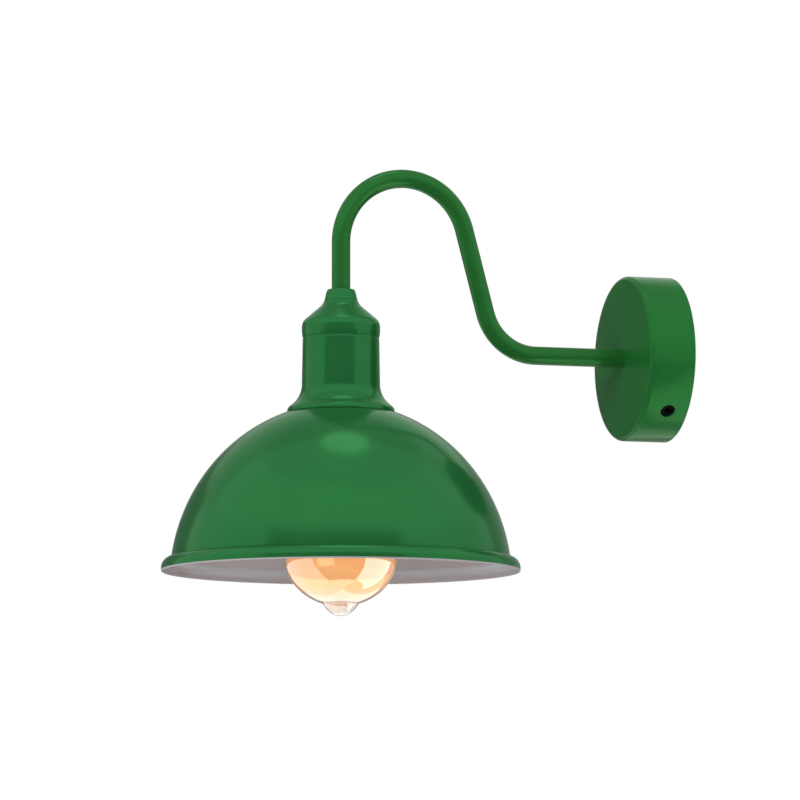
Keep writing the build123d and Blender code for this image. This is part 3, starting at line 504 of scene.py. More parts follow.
def pattern(tree, size_mm, detail=2.0):
    """A cloudy pattern whose patches are about a size in millimetres, in the object's own space."""
    place = add(tree, "ShaderNodeTexCoord").outputs["Object"]
    values = {"Vector": place, "Scale": 1 / (size_mm * MM), "Detail": detail}
    return add(tree, "ShaderNodeTexNoise", values).outputs[0]


def shift(tree, shader, wave, low, high):
    """Lets a pattern move the roughness between two limits."""
    least, most = 0.3, 0.7  # most of a cloudy pattern lies between these
    values = {"Value": wave, "From Min": least, "From Max": most, "To Min": low, "To Max": high}
    value = add(tree, "ShaderNodeMapRange", values).outputs[0]
    tree.links.new(value, shader.inputs["Roughness"])


def tint(tree, shader, wave, low, high):
    """Lets a pattern move the base colour between two colours."""
    mix = add(tree, "ShaderNodeMix", {"Factor": wave, "A": low, "B": high}, data_type="RGBA")
    tree.links.new(mix.outputs["Result"], shader.inputs["Base Color"])


def relief(tree, shader, wave, height_mm):
    """Turns a pattern into relief of a real height."""
    bump = add(tree, "ShaderNodeBump", {"Height": wave, "Strength": 1.0, "Distance": height_mm * MM})
    tree.links.new(bump.outputs[0], shader.inputs["Normal"])


def scaled(rgba, factor):
    """A colour made darker or lighter."""
    return [min(channel * factor, 1.0) for channel in rgba[:3]] + [1.0]


def stoved_lacquer(name, rgb, green_shine):
    """Green lacquer stoved on spun steel: part of its shine comes off the metal below, so it is green."""
    rgba = [*rgb, 1.0]
    made, tree, shader = material(name, rgba, Metallic=green_shine, IOR=1.5, Specular_IOR_Level=0.1)
    shader.inputs["Specular Tint"].default_value = linear("#b9e8c0")
    tint(tree, shader, pattern(tree, 35), scaled(rgba, 0.93), scaled(rgba, 1.07))
    shift(tree, shader, pattern(tree, 12, 4.0), 0.15, 0.22)
    relief(tree, shader, pattern(tree, 3.0, 1.0), 0.006)
    return made


def vitreous_enamel(name, rgb):
    """White enamel fired on the shade's inside: a soft gloss, with slight clouds where it is thinner."""
    rgba = [*rgb, 1.0]
    made, tree, shader = material(name, rgba, IOR=1.52, Specular_IOR_Level=0.3)
    tint(tree, shader, pattern(tree, 25), scaled(rgba, 0.98), scaled(rgba, 1.0))
    shift(tree, shader, pattern(tree, 8, 3.0), 0.3, 0.34)
    relief(tree, shader, pattern(tree, 4.0, 1.0), 0.004)
    return made


def plated_steel(name, base, grain_mm, low=0.24, high=0.4):
    """Zinc on steel: metallic, with a fine brushed or crystalline grain that breaks up its shine."""
    made, tree, shader = material(name, base, Metallic=1.0)
    tint(tree, shader, pattern(tree, grain_mm, 4.0), scaled(linear(base), 0.85), scaled(linear(base), 1.05))
    shift(tree, shader, pattern(tree, grain_mm / 2, 5.0), low, high)
    relief(tree, shader, pattern(tree, grain_mm / 3, 3.0), 0.004)
    return made


def black_oxide(name):
    """Black oxide on machined steel: near black and matt."""
    made, tree, shader = material(name, "#020203", IOR=1.5, Specular_IOR_Level=0.03)
    shift(tree, shader, pattern(tree, 1.2, 4.0), 0.45, 0.6)
    relief(tree, shader, pattern(tree, 0.5, 3.0), 0.003)
    return made


def worked_brass(name, base, low=0.2, high=0.38):
    """Turned or pressed brass, dulled unevenly by handling."""
    made, tree, shader = material(name, base, Metallic=1.0)
    tint(tree, shader, pattern(tree, 4.0, 4.0), scaled(linear(base), 0.8), scaled(linear(base), 1.05))
    shift(tree, shader, pattern(tree, 1.5, 4.0), low, high)
    relief(tree, shader, pattern(tree, 0.6, 2.0), 0.002)
    return made


def moulded(name, base, low, high):
    """A moulded plastic, pressed phenolic or glaze: a faint texture from the mould and no grain."""
    made, tree, shader = material(name, base, IOR=1.5)
    texture_mm = 0.8
    tint(tree, shader, pattern(tree, 9.0), scaled(linear(base), 0.94), scaled(linear(base), 1.04))
    shift(tree, shader, pattern(tree, 3.0, 3.0), low, high)
    relief(tree, shader, pattern(tree, texture_mm, 3.0), 0.01)
    return made


def striped_insulation(name):
    """Green and yellow insulation: two colours in bands along the wire."""
    made, tree, shader = material(name, "#7fa32b", IOR=1.5)
    band_scale = 90.0  # a pair of bands every 7 mm along the wire
    place = add(tree, "ShaderNodeTexCoord").outputs["Object"]
    values = {"Vector": place, "Scale": band_scale, "Distortion": 1.5, "Detail": 0.0}
    bands = add(tree, "ShaderNodeTexWave", values, bands_direction="DIAGONAL").outputs["Fac"]
    edge = add(tree, "ShaderNodeMath", {0: bands, 1: 0.5}, operation="GREATER_THAN").outputs[0]
    tint(tree, shader, edge, linear("#2d7a34"), linear("#d8c628"))
    shift(tree, shader, pattern(tree, 2.0, 2.0), 0.35, 0.45)
    return made


def lustred_glass(name, rgb):
    """Blown glass fired with an amber lustre: it mirrors more than bare glass, is brown where it is seen
    edge on, and pales to nearly white towards the tip. Its glow is painted light, as the bulb is not lit."""
    made, tree, shader = material(name, [*rgb, 1.0], IOR=1.45, Transmission_Weight=1.0, Roughness=0.0)
    shader.inputs["Coat IOR"].default_value = 2.2
    shader.inputs["Coat Roughness"].default_value = 0.0
    # Painted glow: an amber emission, though the bulb is not lit, stands in for light on the lustre.
    shader.inputs["Emission Color"].default_value = linear("#ffbe78")
    painted_glow_strength = 0.17
    # Below the first height the glass is palest with no painted glow; above the second it is full amber with
    # full painted glow.
    palest_no_glow_below, amber_full_glow_above = -153 * MM, -140 * MM
    place = add(tree, "ShaderNodeTexCoord").outputs["Object"]
    height = add(tree, "ShaderNodeSeparateXYZ", {0: place}).outputs["Z"]
    limits = {"Value": height, "From Min": palest_no_glow_below, "From Max": amber_full_glow_above}
    share = add(tree, "ShaderNodeMapRange", limits).outputs[0]
    glow = add(tree, "ShaderNodeMapRange", {**limits, "To Max": painted_glow_strength}).outputs[0]
    tree.links.new(glow, shader.inputs["Emission Strength"])
    facing = add(tree, "ShaderNodeLayerWeight", {"Blend": 0.5}).outputs["Facing"]
    edge_from, edge_to = 0.68, 0.84  # how far the glass turns away where the brown begins and is full
    turned = {"Value": facing, "From Min": edge_from, "From Max": edge_to}
    edge = add(tree, "ShaderNodeMapRange", turned).outputs[0]
    lustre = add(tree, "ShaderNodeMath", {0: 1.0, 1: edge}, operation="SUBTRACT").outputs[0]
    tree.links.new(lustre, shader.inputs["Coat Weight"])
    colours = {"Factor": share, "A": linear("#fffaf2"), "B": [*rgb, 1.0]}
    body = add(tree, "ShaderNodeMix", colours, data_type="RGBA").outputs["Result"]
    colours = {"Factor": edge, "A": body, "B": linear("#2c1608")}
    whole = add(tree, "ShaderNodeMix", colours, data_type="RGBA").outputs["Result"]
    tree.links.new(whole, shader.inputs["Base Color"])
    relief(tree, shader, pattern(tree, 18.0, 1.0), 0.02)
    return made


def clear_glass(name):
    """Drawn glass tube and rod, pressed where the wires pass."""
    made, tree, shader = material(name, "#f4f7f5", IOR=1.5, Transmission_Weight=1.0, Roughness=0.0)
    relief(tree, shader, pattern(tree, 6.0, 1.0), 0.01)
    return made


def make_finishes():
    """One material for each of the record's slots, and two more: the shade's lining, whose white is set grey
    as painted shade, and the canopy's green, a copy of the one lacquer tuned to the canopy's light as
    painted light."""
    shades = bpy.context.scene.sconce_colours
    return {
        # Head, arm and canopy wear one lacquer; these copies differ in colour and metal only as painted
        # light for each part.
        "green_enamel": stoved_lacquer("green stoved lacquer", shades.green, 0.3),
        "green_enamel_arm": stoved_lacquer("green stoved lacquer on tube", shades.arm_green, 0.15),
        "zinc_plated_steel": plated_steel("zinc-plated pressed steel", "#8f9396", 6.0, 0.4, 0.55),
        "black_oxide_steel": black_oxide("black oxide steel"),
        "zinc_plated_fixings": plated_steel("zinc-plated fixings", "#c2c4c6", 2.0),
        "brass": worked_brass("turned brass", "#b08d4a"),
        "spring_bronze": worked_brass("rolled phosphor bronze", "#a9764a"),
        "white_nylon": moulded("moulded nylon", "#e6e4dc", 0.42, 0.55),
        "black_phenolic": moulded("pressed phenolic", "#17171a", 0.25, 0.38),
        "white_ceramic": moulded("glazed steatite", "#e9e6df", 0.18, 0.3),
        "cable_sheath": moulded("cable sheath", "#e8e8e6", 0.45, 0.6),
        "live_insulation": moulded("brown insulation", "#6b4226", 0.35, 0.5),
        "neutral_insulation": moulded("blue insulation", "#2a5f9e", 0.35, 0.5),
        "earth_insulation": striped_insulation("green and yellow insulation"),
        "amber_glass": lustred_glass("blown amber glass", shades.amber),
        "clear_glass": clear_glass("drawn clear glass"),
        "brass_cap": worked_brass("pressed brass cap", "#c8a24c", 0.16, 0.3),
        "black_glass": moulded("black vitrite", "#0c0b0d", 0.08, 0.16),
        "solder": plated_steel("tinned solder", "#9ea0a2", 1.5, 0.3, 0.5),
        "support_wire": plated_steel("drawn nickel wire", "#8d8f91", 0.6, 0.22, 0.35),
        "tungsten": plated_steel("coiled tungsten", "#4a4846", 0.4, 0.35, 0.5),
        # The lining's colour is a grey, painted shade standing in for the dim inside of the dome.
        "lining": vitreous_enamel("white vitreous enamel", shades.white),
        "canopy_lacquer": stoved_lacquer("green stoved lacquer on canopy", shades.canopy_green, 0.12),
    }


FINISHES = {}


def finish(name):
    """The material of a slot, from the set that is made when the first piece needs one."""
    if not FINISHES:
        FINISHES.update(make_finishes())
    return FINISHES[name]


# ---------------------------------------------------------------- operators: studio
def towards(turn, height):
    """The direction at a turn from the lamp's front and a height above the horizon."""
    return Vector((sin(turn) * cos(height), -cos(turn) * cos(height), sin(height)))


class SCONCE_OT_camera(Operator):
    """Adds the camera at the photograph's angle"""

    bl_idname = "sconce.camera"
    bl_label = "Camera"

    def execute(self, context):
        studio = context.scene.sconce_studio
        aim = Vector((0, -studio.aim_out, -studio.aim_down))
        way = towards(studio.azimuth, studio.elevation)
        data = bpy.data.cameras.new("camera")
        data.lens = studio.lens
        data.sensor_width = 36  # mm, the film that the lens is given for
        data.clip_end = 50
        camera = link("camera", data)
        camera.location = aim + way * studio.distance
        camera.rotation_euler = (-way).to_track_quat("-Z", "Y").to_euler()
        context.scene.camera = camera
        return {"FINISHED"}


# The light tent that the gloss reflects, as panels. Each has the turns of its sides from the camera's
# direction to the camera's right, the heights of its lower and upper edge above the horizon, all in degrees,
# and its brightness. A slanted side gives its turn at its foot and at its top.
TENT = {
    "top light": (-180, 180, 78, 90, 2.4),
    "ceiling": (-110, 110, 50, 78, 1.0),
    "rear ceiling": (110, 250, 50, 78, 0.6),
    "upper ring": (-110, 110, 20, 50, 1.3),
    "rear upper ring": (110, 180, 20, 50, 0.9),
    "rear window": (180, 250, 20, 50, 0.8),
    "front flag": (-50, 38, -5, 20, 0.3),
    "left wall": (-125, -50, -5, 20, 1.1),
    "right wall": (38, 125, -5, 20, 1.1),
    "back flag": (125, 200, -30, 20, 0.4),
    "canopy flag": (200, 235, -30, 20, 0.2),
    "low front flag": ((-50, -62), 50, -66, -5, 0.15),
    "low left softbox": (-150, (-50, -62), -66, -5, 1.25),
    "floor light": (-150, 50, -90, -66, 1.1),
    "low right softbox": (50, 125, -64, -8, 2.5),
    "low right flag": (50, 150, -90, -64, 0.6),
    "low side flag": (125, 150, -66, -30, 0.8),
    "low back": (150, 210, -90, -30, 1.6),
}


def slanted(side, share):
    """The turn of a panel's side at a share of its height."""
    foot, head = side if isinstance(side, tuple) else (side, side)
    return foot + (head - foot) * share


def tent_panel(name, centre, start, end, low, high, level):
    """A curved panel that only glossy surfaces see, as a lamp's face or a dark flag shows in their shine."""
    made = bpy.data.materials.new(name)
    made.use_nodes = True
    tree = made.node_tree
    tree.nodes.clear()
    glow = add(tree, "ShaderNodeEmission", {"Color": (1, 1, 1, 1), "Strength": level})
    add(tree, "ShaderNodeOutputMaterial", {0: glow.outputs[0]})
    tent_radius = 0.9  # small enough to stand clear above the floor
    camera_turn = bpy.context.scene.sconce_studio.azimuth
    columns, rows = 24, 12
    points = []
    for column in range(columns + 1):
        for row in range(rows + 1):
            left, right = slanted(start, row / rows), slanted(end, row / rows)
            turn = camera_turn + radians(left + (right - left) * column / columns)
            height = radians(low + (high - low) * row / rows)
            points.append(centre + towards(turn, height) * tent_radius)
    faces = [
        (first, first + 1, first + rows + 2, first + rows + 1)
        for column in range(columns)
        for first in range(column * (rows + 1), column * (rows + 1) + rows)
    ]
    mesh = bpy.data.meshes.new(name)
    mesh.from_pydata(points, [], faces)
    mesh.materials.append(made)
    panel = link(name.replace(" ", "_"), mesh)
    panel.visible_camera = False
    panel.visible_diffuse = False
    panel.visible_shadow = False
    panel.visible_transmission = False
    panel.visible_volume_scatter = False


class SCONCE_OT_stage(Operator):
    """Adds the floor, the background, the lamps and the light tent that the gloss reflects"""

    bl_idname = "sconce.stage"
    bl_label = "Stage"

    def execute(self, context):
        studio = context.scene.sconce_studio
        aim = Vector((0, -studio.aim_out, -studio.aim_down))
        self.floor()
        self.background(context, studio.ambient)
        self.lamps(aim)
        for name, panel in TENT.items():
            tent_panel(name, aim, *panel)
        context.scene.view_settings.view_transform = "Standard"
        return {"FINISHED"}

    def white_to_eye(self, tree, dim, white):
        """White for camera, glossy and transmission rays, and the dim shader for the rest."""
        seen = self.any_ray(tree, "Is Camera Ray", "Is Glossy Ray", "Is Transmission Ray")
        return add(tree, "ShaderNodeMixShader", {0: seen, 1: dim, 2: white}).outputs[0]

    def any_ray(self, tree, first, *others):
        """1 for rays of the named kinds, and 0 for the rest."""
        rays = add(tree, "ShaderNodeLightPath").outputs
        seen = rays[first]
        for kind in others:
            seen = add(tree, "ShaderNodeMath", {0: seen, 1: rays[kind]}, operation="MAXIMUM").outputs[0]
        return seen

    def floor(self):
        """A pale floor well below the lamp, seen only from above, lifted nearly to white for the eye."""
        made = bpy.data.materials.new("pale floor")
        made.use_nodes = True
        tree = made.node_tree
        shader = tree.nodes["Principled BSDF"]
        shader.inputs["Base Color"].default_value = linear("#e9e9e7")
        shader.inputs["Roughness"].default_value = 0.8
        shader.inputs["Specular IOR Level"].default_value = 0.0
        shader.inputs["Emission Color"].default_value = (1, 1, 1, 1)
        nearly_white = 0.62
        eye = self.any_ray(tree, "Is Camera Ray", "Is Transmission Ray")
        lift = add(tree, "ShaderNodeMath", {0: eye, 1: nearly_white}, operation="MULTIPLY").outputs[0]
        tree.links.new(lift, shader.inputs["Emission Strength"])
        back = add(tree, "ShaderNodeNewGeometry").outputs["Backfacing"]
        clear = add(tree, "ShaderNodeBsdfTransparent").outputs[0]
        sided = add(tree, "ShaderNodeMixShader", {0: back, 1: shader.outputs[0], 2: clear}).outputs[0]
        tree.links.new(sided, tree.nodes["Material Output"].inputs[0])
        mesh = bpy.data.meshes.new("floor")
        half, height = 6.0, -1.0
        corners = [(-half, -half), (half, -half), (half, half), (-half, half)]
        mesh.from_pydata([(x, y, height) for x, y in corners], [], [(0, 1, 2, 3)])
        mesh.materials.append(made)
        link("floor", mesh)

    def background(self, context, ambient):
        """A white background for the eye, which lights the lamp no more than the ambient level."""
        world = bpy.data.worlds.new("studio")
        world.use_nodes = True
        tree = world.node_tree
        tree.nodes.clear()
        dim = add(tree, "ShaderNodeBackground", {"Color": (1, 1, 1, 1), "Strength": ambient}).outputs[0]
        white = add(tree, "ShaderNodeBackground", {"Color": (1, 1, 1, 1), "Strength": 1.0}).outputs[0]
        add(tree, "ShaderNodeOutputWorld", {0: self.white_to_eye(tree, dim, white)})
        context.scene.world = world

    def lamps(self, aim):
        """Soft square lamps, each given as its place, its width in metres and its power in watts."""
        places = {
            "key": ((1.5, -2.1, 1.0), 1.2, 18.0),
            "fill": ((1.2, 1.9, 0.8), 1.2, 10.0),
            "overhead": ((0.4, 0.4, 2.0), 1.6, 13.0),
            "bounce": ((1.0, -1.5, -0.9), 1.2, 9.0),
        }
        for name, (place, size, power) in places.items():
            data = bpy.data.lights.new(name, "AREA")
            data.shape = "SQUARE"
            data.size = size
            data.energy = power
            lamp = link(name, data)
            lamp.location = place
            lamp.rotation_euler = (aim - Vector(place)).to_track_quat("-Z", "Y").to_euler()
            lamp.visible_camera = False
            lamp.visible_glossy = False


# ---------------------------------------------------------------- operators: wall side and arm
class SCONCE_OT_canopy(Operator):
    """Spins the canopy and cuts its two side holes"""

    bl_idname = "sconce.canopy"
    bl_label = "Canopy"

    def execute(self, context):
        sizes = context.scene.sconce_sizes
        low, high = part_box("canopy")
        radius, depth = high.x, high.y - low.y
        arm_hole = 5.1 * MM
        line = rounded((arm_hole, depth, 0), (radius, depth, sizes.canopy_edge), (radius, 0, 0))
        source = spun("canopy_source", sheet_loop(line, sizes.sheet), WALL_SIDE, finish("canopy_lacquer"))
        cutter = self.hole_cutter(radius)
        cut = source.modifiers.new("side holes", "BOOLEAN")
        cut.object = cutter
        cut.solver = "EXACT"
        piece = baked("canopy_shell", source)
        bpy.data.objects.remove(cutter)
        finished(piece, FIXTURE, "canopy")
        return {"FINISHED"}

    def hole_cutter(self, radius):
        """Two short rods that stand where the retaining screws pass the canopy's side."""
        low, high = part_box("retaining_screws")
        middle = (low.y + high.y) / 2
        hole, rod_length = 4.5 * MM, 6 * MM
        lower_screw = radians(-44)  # below the level of the arm, on the photograph's side
        shape = bmesh.new()
        for turn in (lower_screw, lower_screw + pi):
            place = Matrix.Rotation(-turn, 4, "Y") @ Matrix.Translation((radius, middle, 0))
            place = place @ Matrix.Rotation(pi / 2, 4, "Y")
            bmesh.ops.create_cone(
                shape,
                cap_ends=True,
                segments=48,
                radius1=hole,
                radius2=hole,
                depth=rod_length,
                matrix=place,
            )
        mesh = bpy.data.meshes.new("cutter")
        shape.to_mesh(mesh)
        shape.free()
        mesh.materials.append(finish("canopy_lacquer"))
        return link("cutter", mesh)


class SCONCE_OT_arm(Operator):
    """Bends the gooseneck tube"""

    bl_idname = "sconce.arm"
    bl_label = "Arm"

    def execute(self, context):
        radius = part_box("arm_tube")[1].x
        inside_cad = 0.02 * MM  # so that the tube's flat sides stay within the round solid
        values = {"Radius": radius - inside_cad, "Sides": 64, "Finish": finish("green_enamel_arm")}
        curve = path_curve("arm", self.centre_line(context.scene.sconce_sizes, radius))
        source = run_tree("arm_source", curve, tree_of(tube_tree), values)
        wall = source.modifiers.new("wall", "SOLIDIFY")
        wall.thickness = context.scene.sconce_sizes.tube_wall
        wall.offset = -1
        piece = baked("gooseneck_tube", source)
        outward(piece)
        finished(piece, FIXTURE, "arm_tube")
        return {"FINISHED"}

    def centre_line(self, sizes, radius):
        """The run from the wall, the lower bend, the slope, the arch and the drop into the head."""
        low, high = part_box("arm_tube")
        arch = Vector((HEAD_Y + sizes.arch_bend, high.z - radius - sizes.arch_bend))
        turn = sizes.lower_turn
        slope_top = arch + sizes.arch_bend * Vector((sin(turn), cos(turn)))
        rise = slope_top.y - sizes.lower_bend * (1 - cos(turn))
        run_end = slope_top.x + rise / tan(turn) + sizes.lower_bend * sin(turn)
        steps = 40
        points = [(0, high.y, 0)]
        for step in range(steps + 1):
            a = turn * step / steps
            points.append((0, run_end - sizes.lower_bend * sin(a), sizes.lower_bend * (1 - cos(a))))
        for step in range(2 * steps + 1):
            a = pi / 2 - turn + (pi / 2 + turn) * step / (2 * steps)
            points.append((0, arch.x + sizes.arch_bend * cos(a), arch.y + sizes.arch_bend * sin(a)))
        return [*points, (0, HEAD_Y, low.z)]


# ---------------------------------------------------------------- operators: head
class SCONCE_OT_shade(Operator):
    """Spins the dome with its turned rim, green outside and white inside"""

    bl_idname = "sconce.shade"
    bl_label = "Shade"

    def execute(self, context):
        sizes = context.scene.sconce_sizes
        sheet = sizes.shade_sheet
        wide, edge = across("shade"), bottom("shade")
        hem_centre = (wide - sheet / 2, edge + sheet / 2)
        outer = self.wall(sizes, 0)
        outer += [Vector((wide, edge + sizes.bare_edge))]
        hem = [outer[-1].copy()] + arc(hem_centre, sheet / 2, 0, -180, 8)
        outline = outer + hem + self.wall(sizes, sheet)[::-1] + outer[:1]
        lined = range(len(outer), len(outline) - 1)
        around = sizes.segments * 3 // 2
        green, white = finish("green_enamel"), finish("lining")
        piece = spun("dome_shade", outline, HEAD_SIDE, green, white, lined, around)
        finished(piece, FIXTURE, "shade")
        return {"FINISHED"}

    def wall(self, sizes, inset):
        """One face of the sheet: the flat round the hole, the ellipse and the lip's quarter round."""
        hole = 20.4 * MM
        flat_short_of_wall = 1.5 * MM
        crown = top("shade") - inset
        centre = top("shade") - sizes.dome_drop
        half_width, half_height = sizes.dome_radius - inset, sizes.dome_height - inset
        lip = Vector((across("shade") - sizes.lip_radius, bottom("shade") + sizes.lip_drop))
        lip_radius = sizes.lip_radius - inset
        start = asin((crown - centre) / half_height)
        end = asin((lip.y + lip_radius - centre) / half_height)
        wall_start, wall_end = half_width * cos(start), half_width * cos(end)
        line = [Vector((hole, crown)), Vector((wall_start - flat_short_of_wall, crown))]
        steps = 72
        for step in range(steps + 1):
            a = start + (end - start) * step / steps
            line.append(Vector((half_width * cos(a), centre + half_height * sin(a))))
        clear_of_wall = wall_end + 0.1 * MM
        return line + [p for p in arc(lip, lip_radius, 90, 0, 16) if p.x > clear_of_wall]


class SCONCE_OT_head(Operator):
    """Turns the neck bush, and spins the cap and the flared sleeve"""

    bl_idname = "sconce.head"
    bl_label = "Head"
    tuck = 0.4 * MM  # how far the cap's lower edge is drawn in to the sleeve

    def execute(self, context):
        self.neck()
        self.cap(context.scene.sconce_sizes)
        self.sleeve(context.scene.sconce_sizes)
        return {"FINISHED"}

    def neck(self):
        """A turned collar with a small step under its top edge."""
        high, low, wide = top("neck_bush"), bottom("neck_bush"), across("neck_bush")
        bore = 5.0 * MM
        crown, step, step_drop = wide - 2.0 * MM, wide - 1.3 * MM, 1.0 * MM
        line = rounded(
            (bore, high, 0),
            (crown, high, 0.5 * MM),
            (step, high - step_drop, 0.4 * MM),
            (wide, low, 0),
            (bore, low, 0),
            (bore, high, 0),
            steps=4,
        )
        piece = spun("neck_collar", line, HEAD_SIDE, finish("green_enamel"), segments=96)
        finished(piece, FIXTURE, "neck_bush")

    def cap(self, sizes):
        """A flat top, a hollow slope down to a full shoulder, and a skirt drawn in at its lower edge."""
        high, low, wide = top("holder_cap"), bottom("holder_cap"), across("holder_cap")
        hole, flat = 5.1 * MM, 9.7 * MM
        slope, slope_drop = 10.7 * MM, 2.7 * MM
        shoulder_drop, draw_in = 13.1 * MM, 2.6 * MM
        line = rounded(
            (hole, high, 0),
            (flat, high, 0.6 * MM),
            (slope, high - slope_drop, 9.0 * MM),
            (wide, high - shoulder_drop, 6.8 * MM),
            (wide, low + draw_in, 4.0 * MM),
            (wide - self.tuck, low, 0),
            steps=16,
        )
        piece = spun("spun_cap", sheet_loop(line, sizes.sheet), HEAD_SIDE, finish("green_enamel"))
        finished(piece, FIXTURE, "holder_cap")

    def sleeve(self, sizes):
        """A spigot inside the cap, a small shoulder at the seam, the upright body and the flared foot."""
        high, low, foot = top("holder_sleeve"), bottom("holder_sleeve"), across("holder_sleeve")
        seam = bottom("holder_cap")
        spigot = across("holder_cap") - sizes.sheet - self.tuck - 0.1 * MM
        body, widening = 22.5 * MM, 0.6 * MM
        shoulder = body - 0.2 * MM
        flare_rise, foot_rise = 9.0 * MM, 2.0 * MM
        line = rounded(
            (spigot, high, 0),
            (spigot, seam - 0.05 * MM, 0),
            (shoulder, seam - 0.1 * MM, 0.1 * MM),
            (body, seam - 2.0 * MM, 1.0 * MM),
            (body + widening, low + flare_rise, 15.0 * MM),
            (foot, low + foot_rise, 3.8 * MM),
            (foot, low, 0),
            steps=16,
        )
        piece = spun("flared_sleeve", sheet_loop(line, sizes.sheet), HEAD_SIDE, finish("green_enamel"))
        finished(piece, FIXTURE, "holder_sleeve")


# ---------------------------------------------------------------- operators: bulb
class SCONCE_OT_bulb(Operator):
    """Blows the bulb's glass, with its sealed tip"""

    bl_idname = "sconce.bulb"
    bl_label = "Bulb glass"

    def execute(self, context):
        sizes = context.scene.sconce_sizes
        outer = self.side(0, 0)
        inner = self.side(sizes.glass, sizes.tip_glass)
        piece = spun("teardrop_glass", inner[::-1] + outer, HEAD_SIDE, finish("amber_glass"))
        finished(piece, BULB, "bulb_glass", sharp=60)
        return {"FINISHED"}

    def side(self, wall, tip_wall):
        """The glass from the top of its neck down to the axis, moved inward by the thickness of its wall."""
        wide, high, low = across("bulb_glass"), top("bulb_glass"), bottom("bulb_glass")
        neck = Vector((11.2 * MM, high - 7.3 * MM))
        waist = Vector((18.6 * MM, -68.0 * MM))
        belly = Vector((wide, -122.9 * MM))
        depth = 28.3 * MM  # half the height of the ellipse under the belly
        root_radius = 10.6 * MM  # where the sealed tip springs from the glass
        line = [Vector((neck.x, high))]
        line += self.bend(neck, (3.6, -9.0), (-2.1, 8.0), waist, 20)
        line += self.bend(waist, (5.2, -18.0), (0, 20.0), belly, 30)[1:]
        last = acos(root_radius / wide)
        steps = 28
        for step in range(1, steps + 1):
            a = last * step / steps
            line.append(belly + Vector((wide * (cos(a) - 1), -depth * sin(a))))
        tip_side = Vector((7.6 * MM, low + 3.3 * MM))
        tip = self.bend(line[-1], (-0.5, -1.0), (1.2, 1.3), tip_side, 8)[1:]
        tip += self.bend(tip_side, (-2.2, -2.4), (3.0, 0), Vector((0, low)), 12)[1:]
        if not wall:
            return line + tip
        line = [p + Vector((-wall, wall * max(0, (belly.y - p.y) / depth))) for p in line]
        narrowed = 1 - (tip_wall + wall) / root_radius
        return line + [Vector((p.x * narrowed, p.y + tip_wall)) for p in tip]

    def bend(self, start, out, back, end, steps):
        """A curve between two points, whose handles are given in millimetres."""
        return interpolate_bezier(start, start + MM * Vector(out), end + MM * Vector(back), end, steps)


class SCONCE_OT_cap(Operator):
    """Rolls the screw threads of the bulb's cap and of the lampholder's socket"""

    bl_idname = "sconce.cap"
    bl_label = "Screw cap"

    def execute(self, context):
        self.bulb_cap(context.scene.sconce_sizes)
        self.socket()
        return {"FINISHED"}

    def bulb_cap(self, sizes):
        """The cap's narrow mouth, the thread below it, and the plain band that grips the glass."""
        high, low, wide = top("bulb_cap"), bottom("bulb_cap"), across("bulb_cap")
        mouth, sheet, depth = 8.0 * MM, 0.3 * MM, 0.42 * MM
        mean, band = wide - depth, wide - 0.1 * MM
        start, end = high - 0.8 * MM, high - 5.3 * sizes.thread_pitch
        line = [Vector((mouth, high)), Vector((mean - 1.3 * MM, high))]
        line += [Vector((mean - 0.3 * MM, high - 0.4 * MM))]
        line += self.straight(mean, start, end, 72)
        line += [Vector((band, end - 0.5 * MM)), Vector((band, low))]
        piece = self.rolled("rolled_cap", "bulb_cap", sheet_loop(line, sheet), depth, high - 1.0 * MM, end)
        finished(piece, BULB, "bulb_cap", sharp=50)

    def socket(self):
        """The socket's holed top and the thread that takes the cap's."""
        high, low, wide = top("screw_socket"), bottom("screw_socket"), across("screw_socket")
        hole, sheet, depth, corner = 5.5 * MM, 0.35 * MM, 0.22 * MM, 0.4 * MM
        mean = wide - depth
        line = [Vector((hole, high)), Vector((mean - corner, high))]
        line += self.straight(mean, high - corner, low, 80)
        thread_top, thread_bottom = high - 1.5 * MM, low + 1.0 * MM
        outline = sheet_loop(line, sheet)
        piece = self.rolled("rolled_socket", "screw_socket", outline, depth, thread_top, thread_bottom)
        finished(piece, FIXTURE, "screw_socket", sharp=50)

    def straight(self, radius, start, end, steps):
        """A cylinder's side with points close enough together to carry a thread."""
        return [Vector((radius, start + (end - start) * step / steps)) for step in range(steps + 1)]

    def rolled(self, name, node, outline, depth, thread_top, thread_bottom):
        """Thin sheet with a thread rolled through it."""
        thread = {
            "Thread Depth": depth,
            "Thread Pitch": bpy.context.scene.sconce_sizes.thread_pitch,
            "Thread Top": thread_top,
            "Thread Bottom": thread_bottom,
        }
        return spun(name, outline, HEAD_SIDE, finish(SLOT_OF[node]), segments=96, thread=thread)


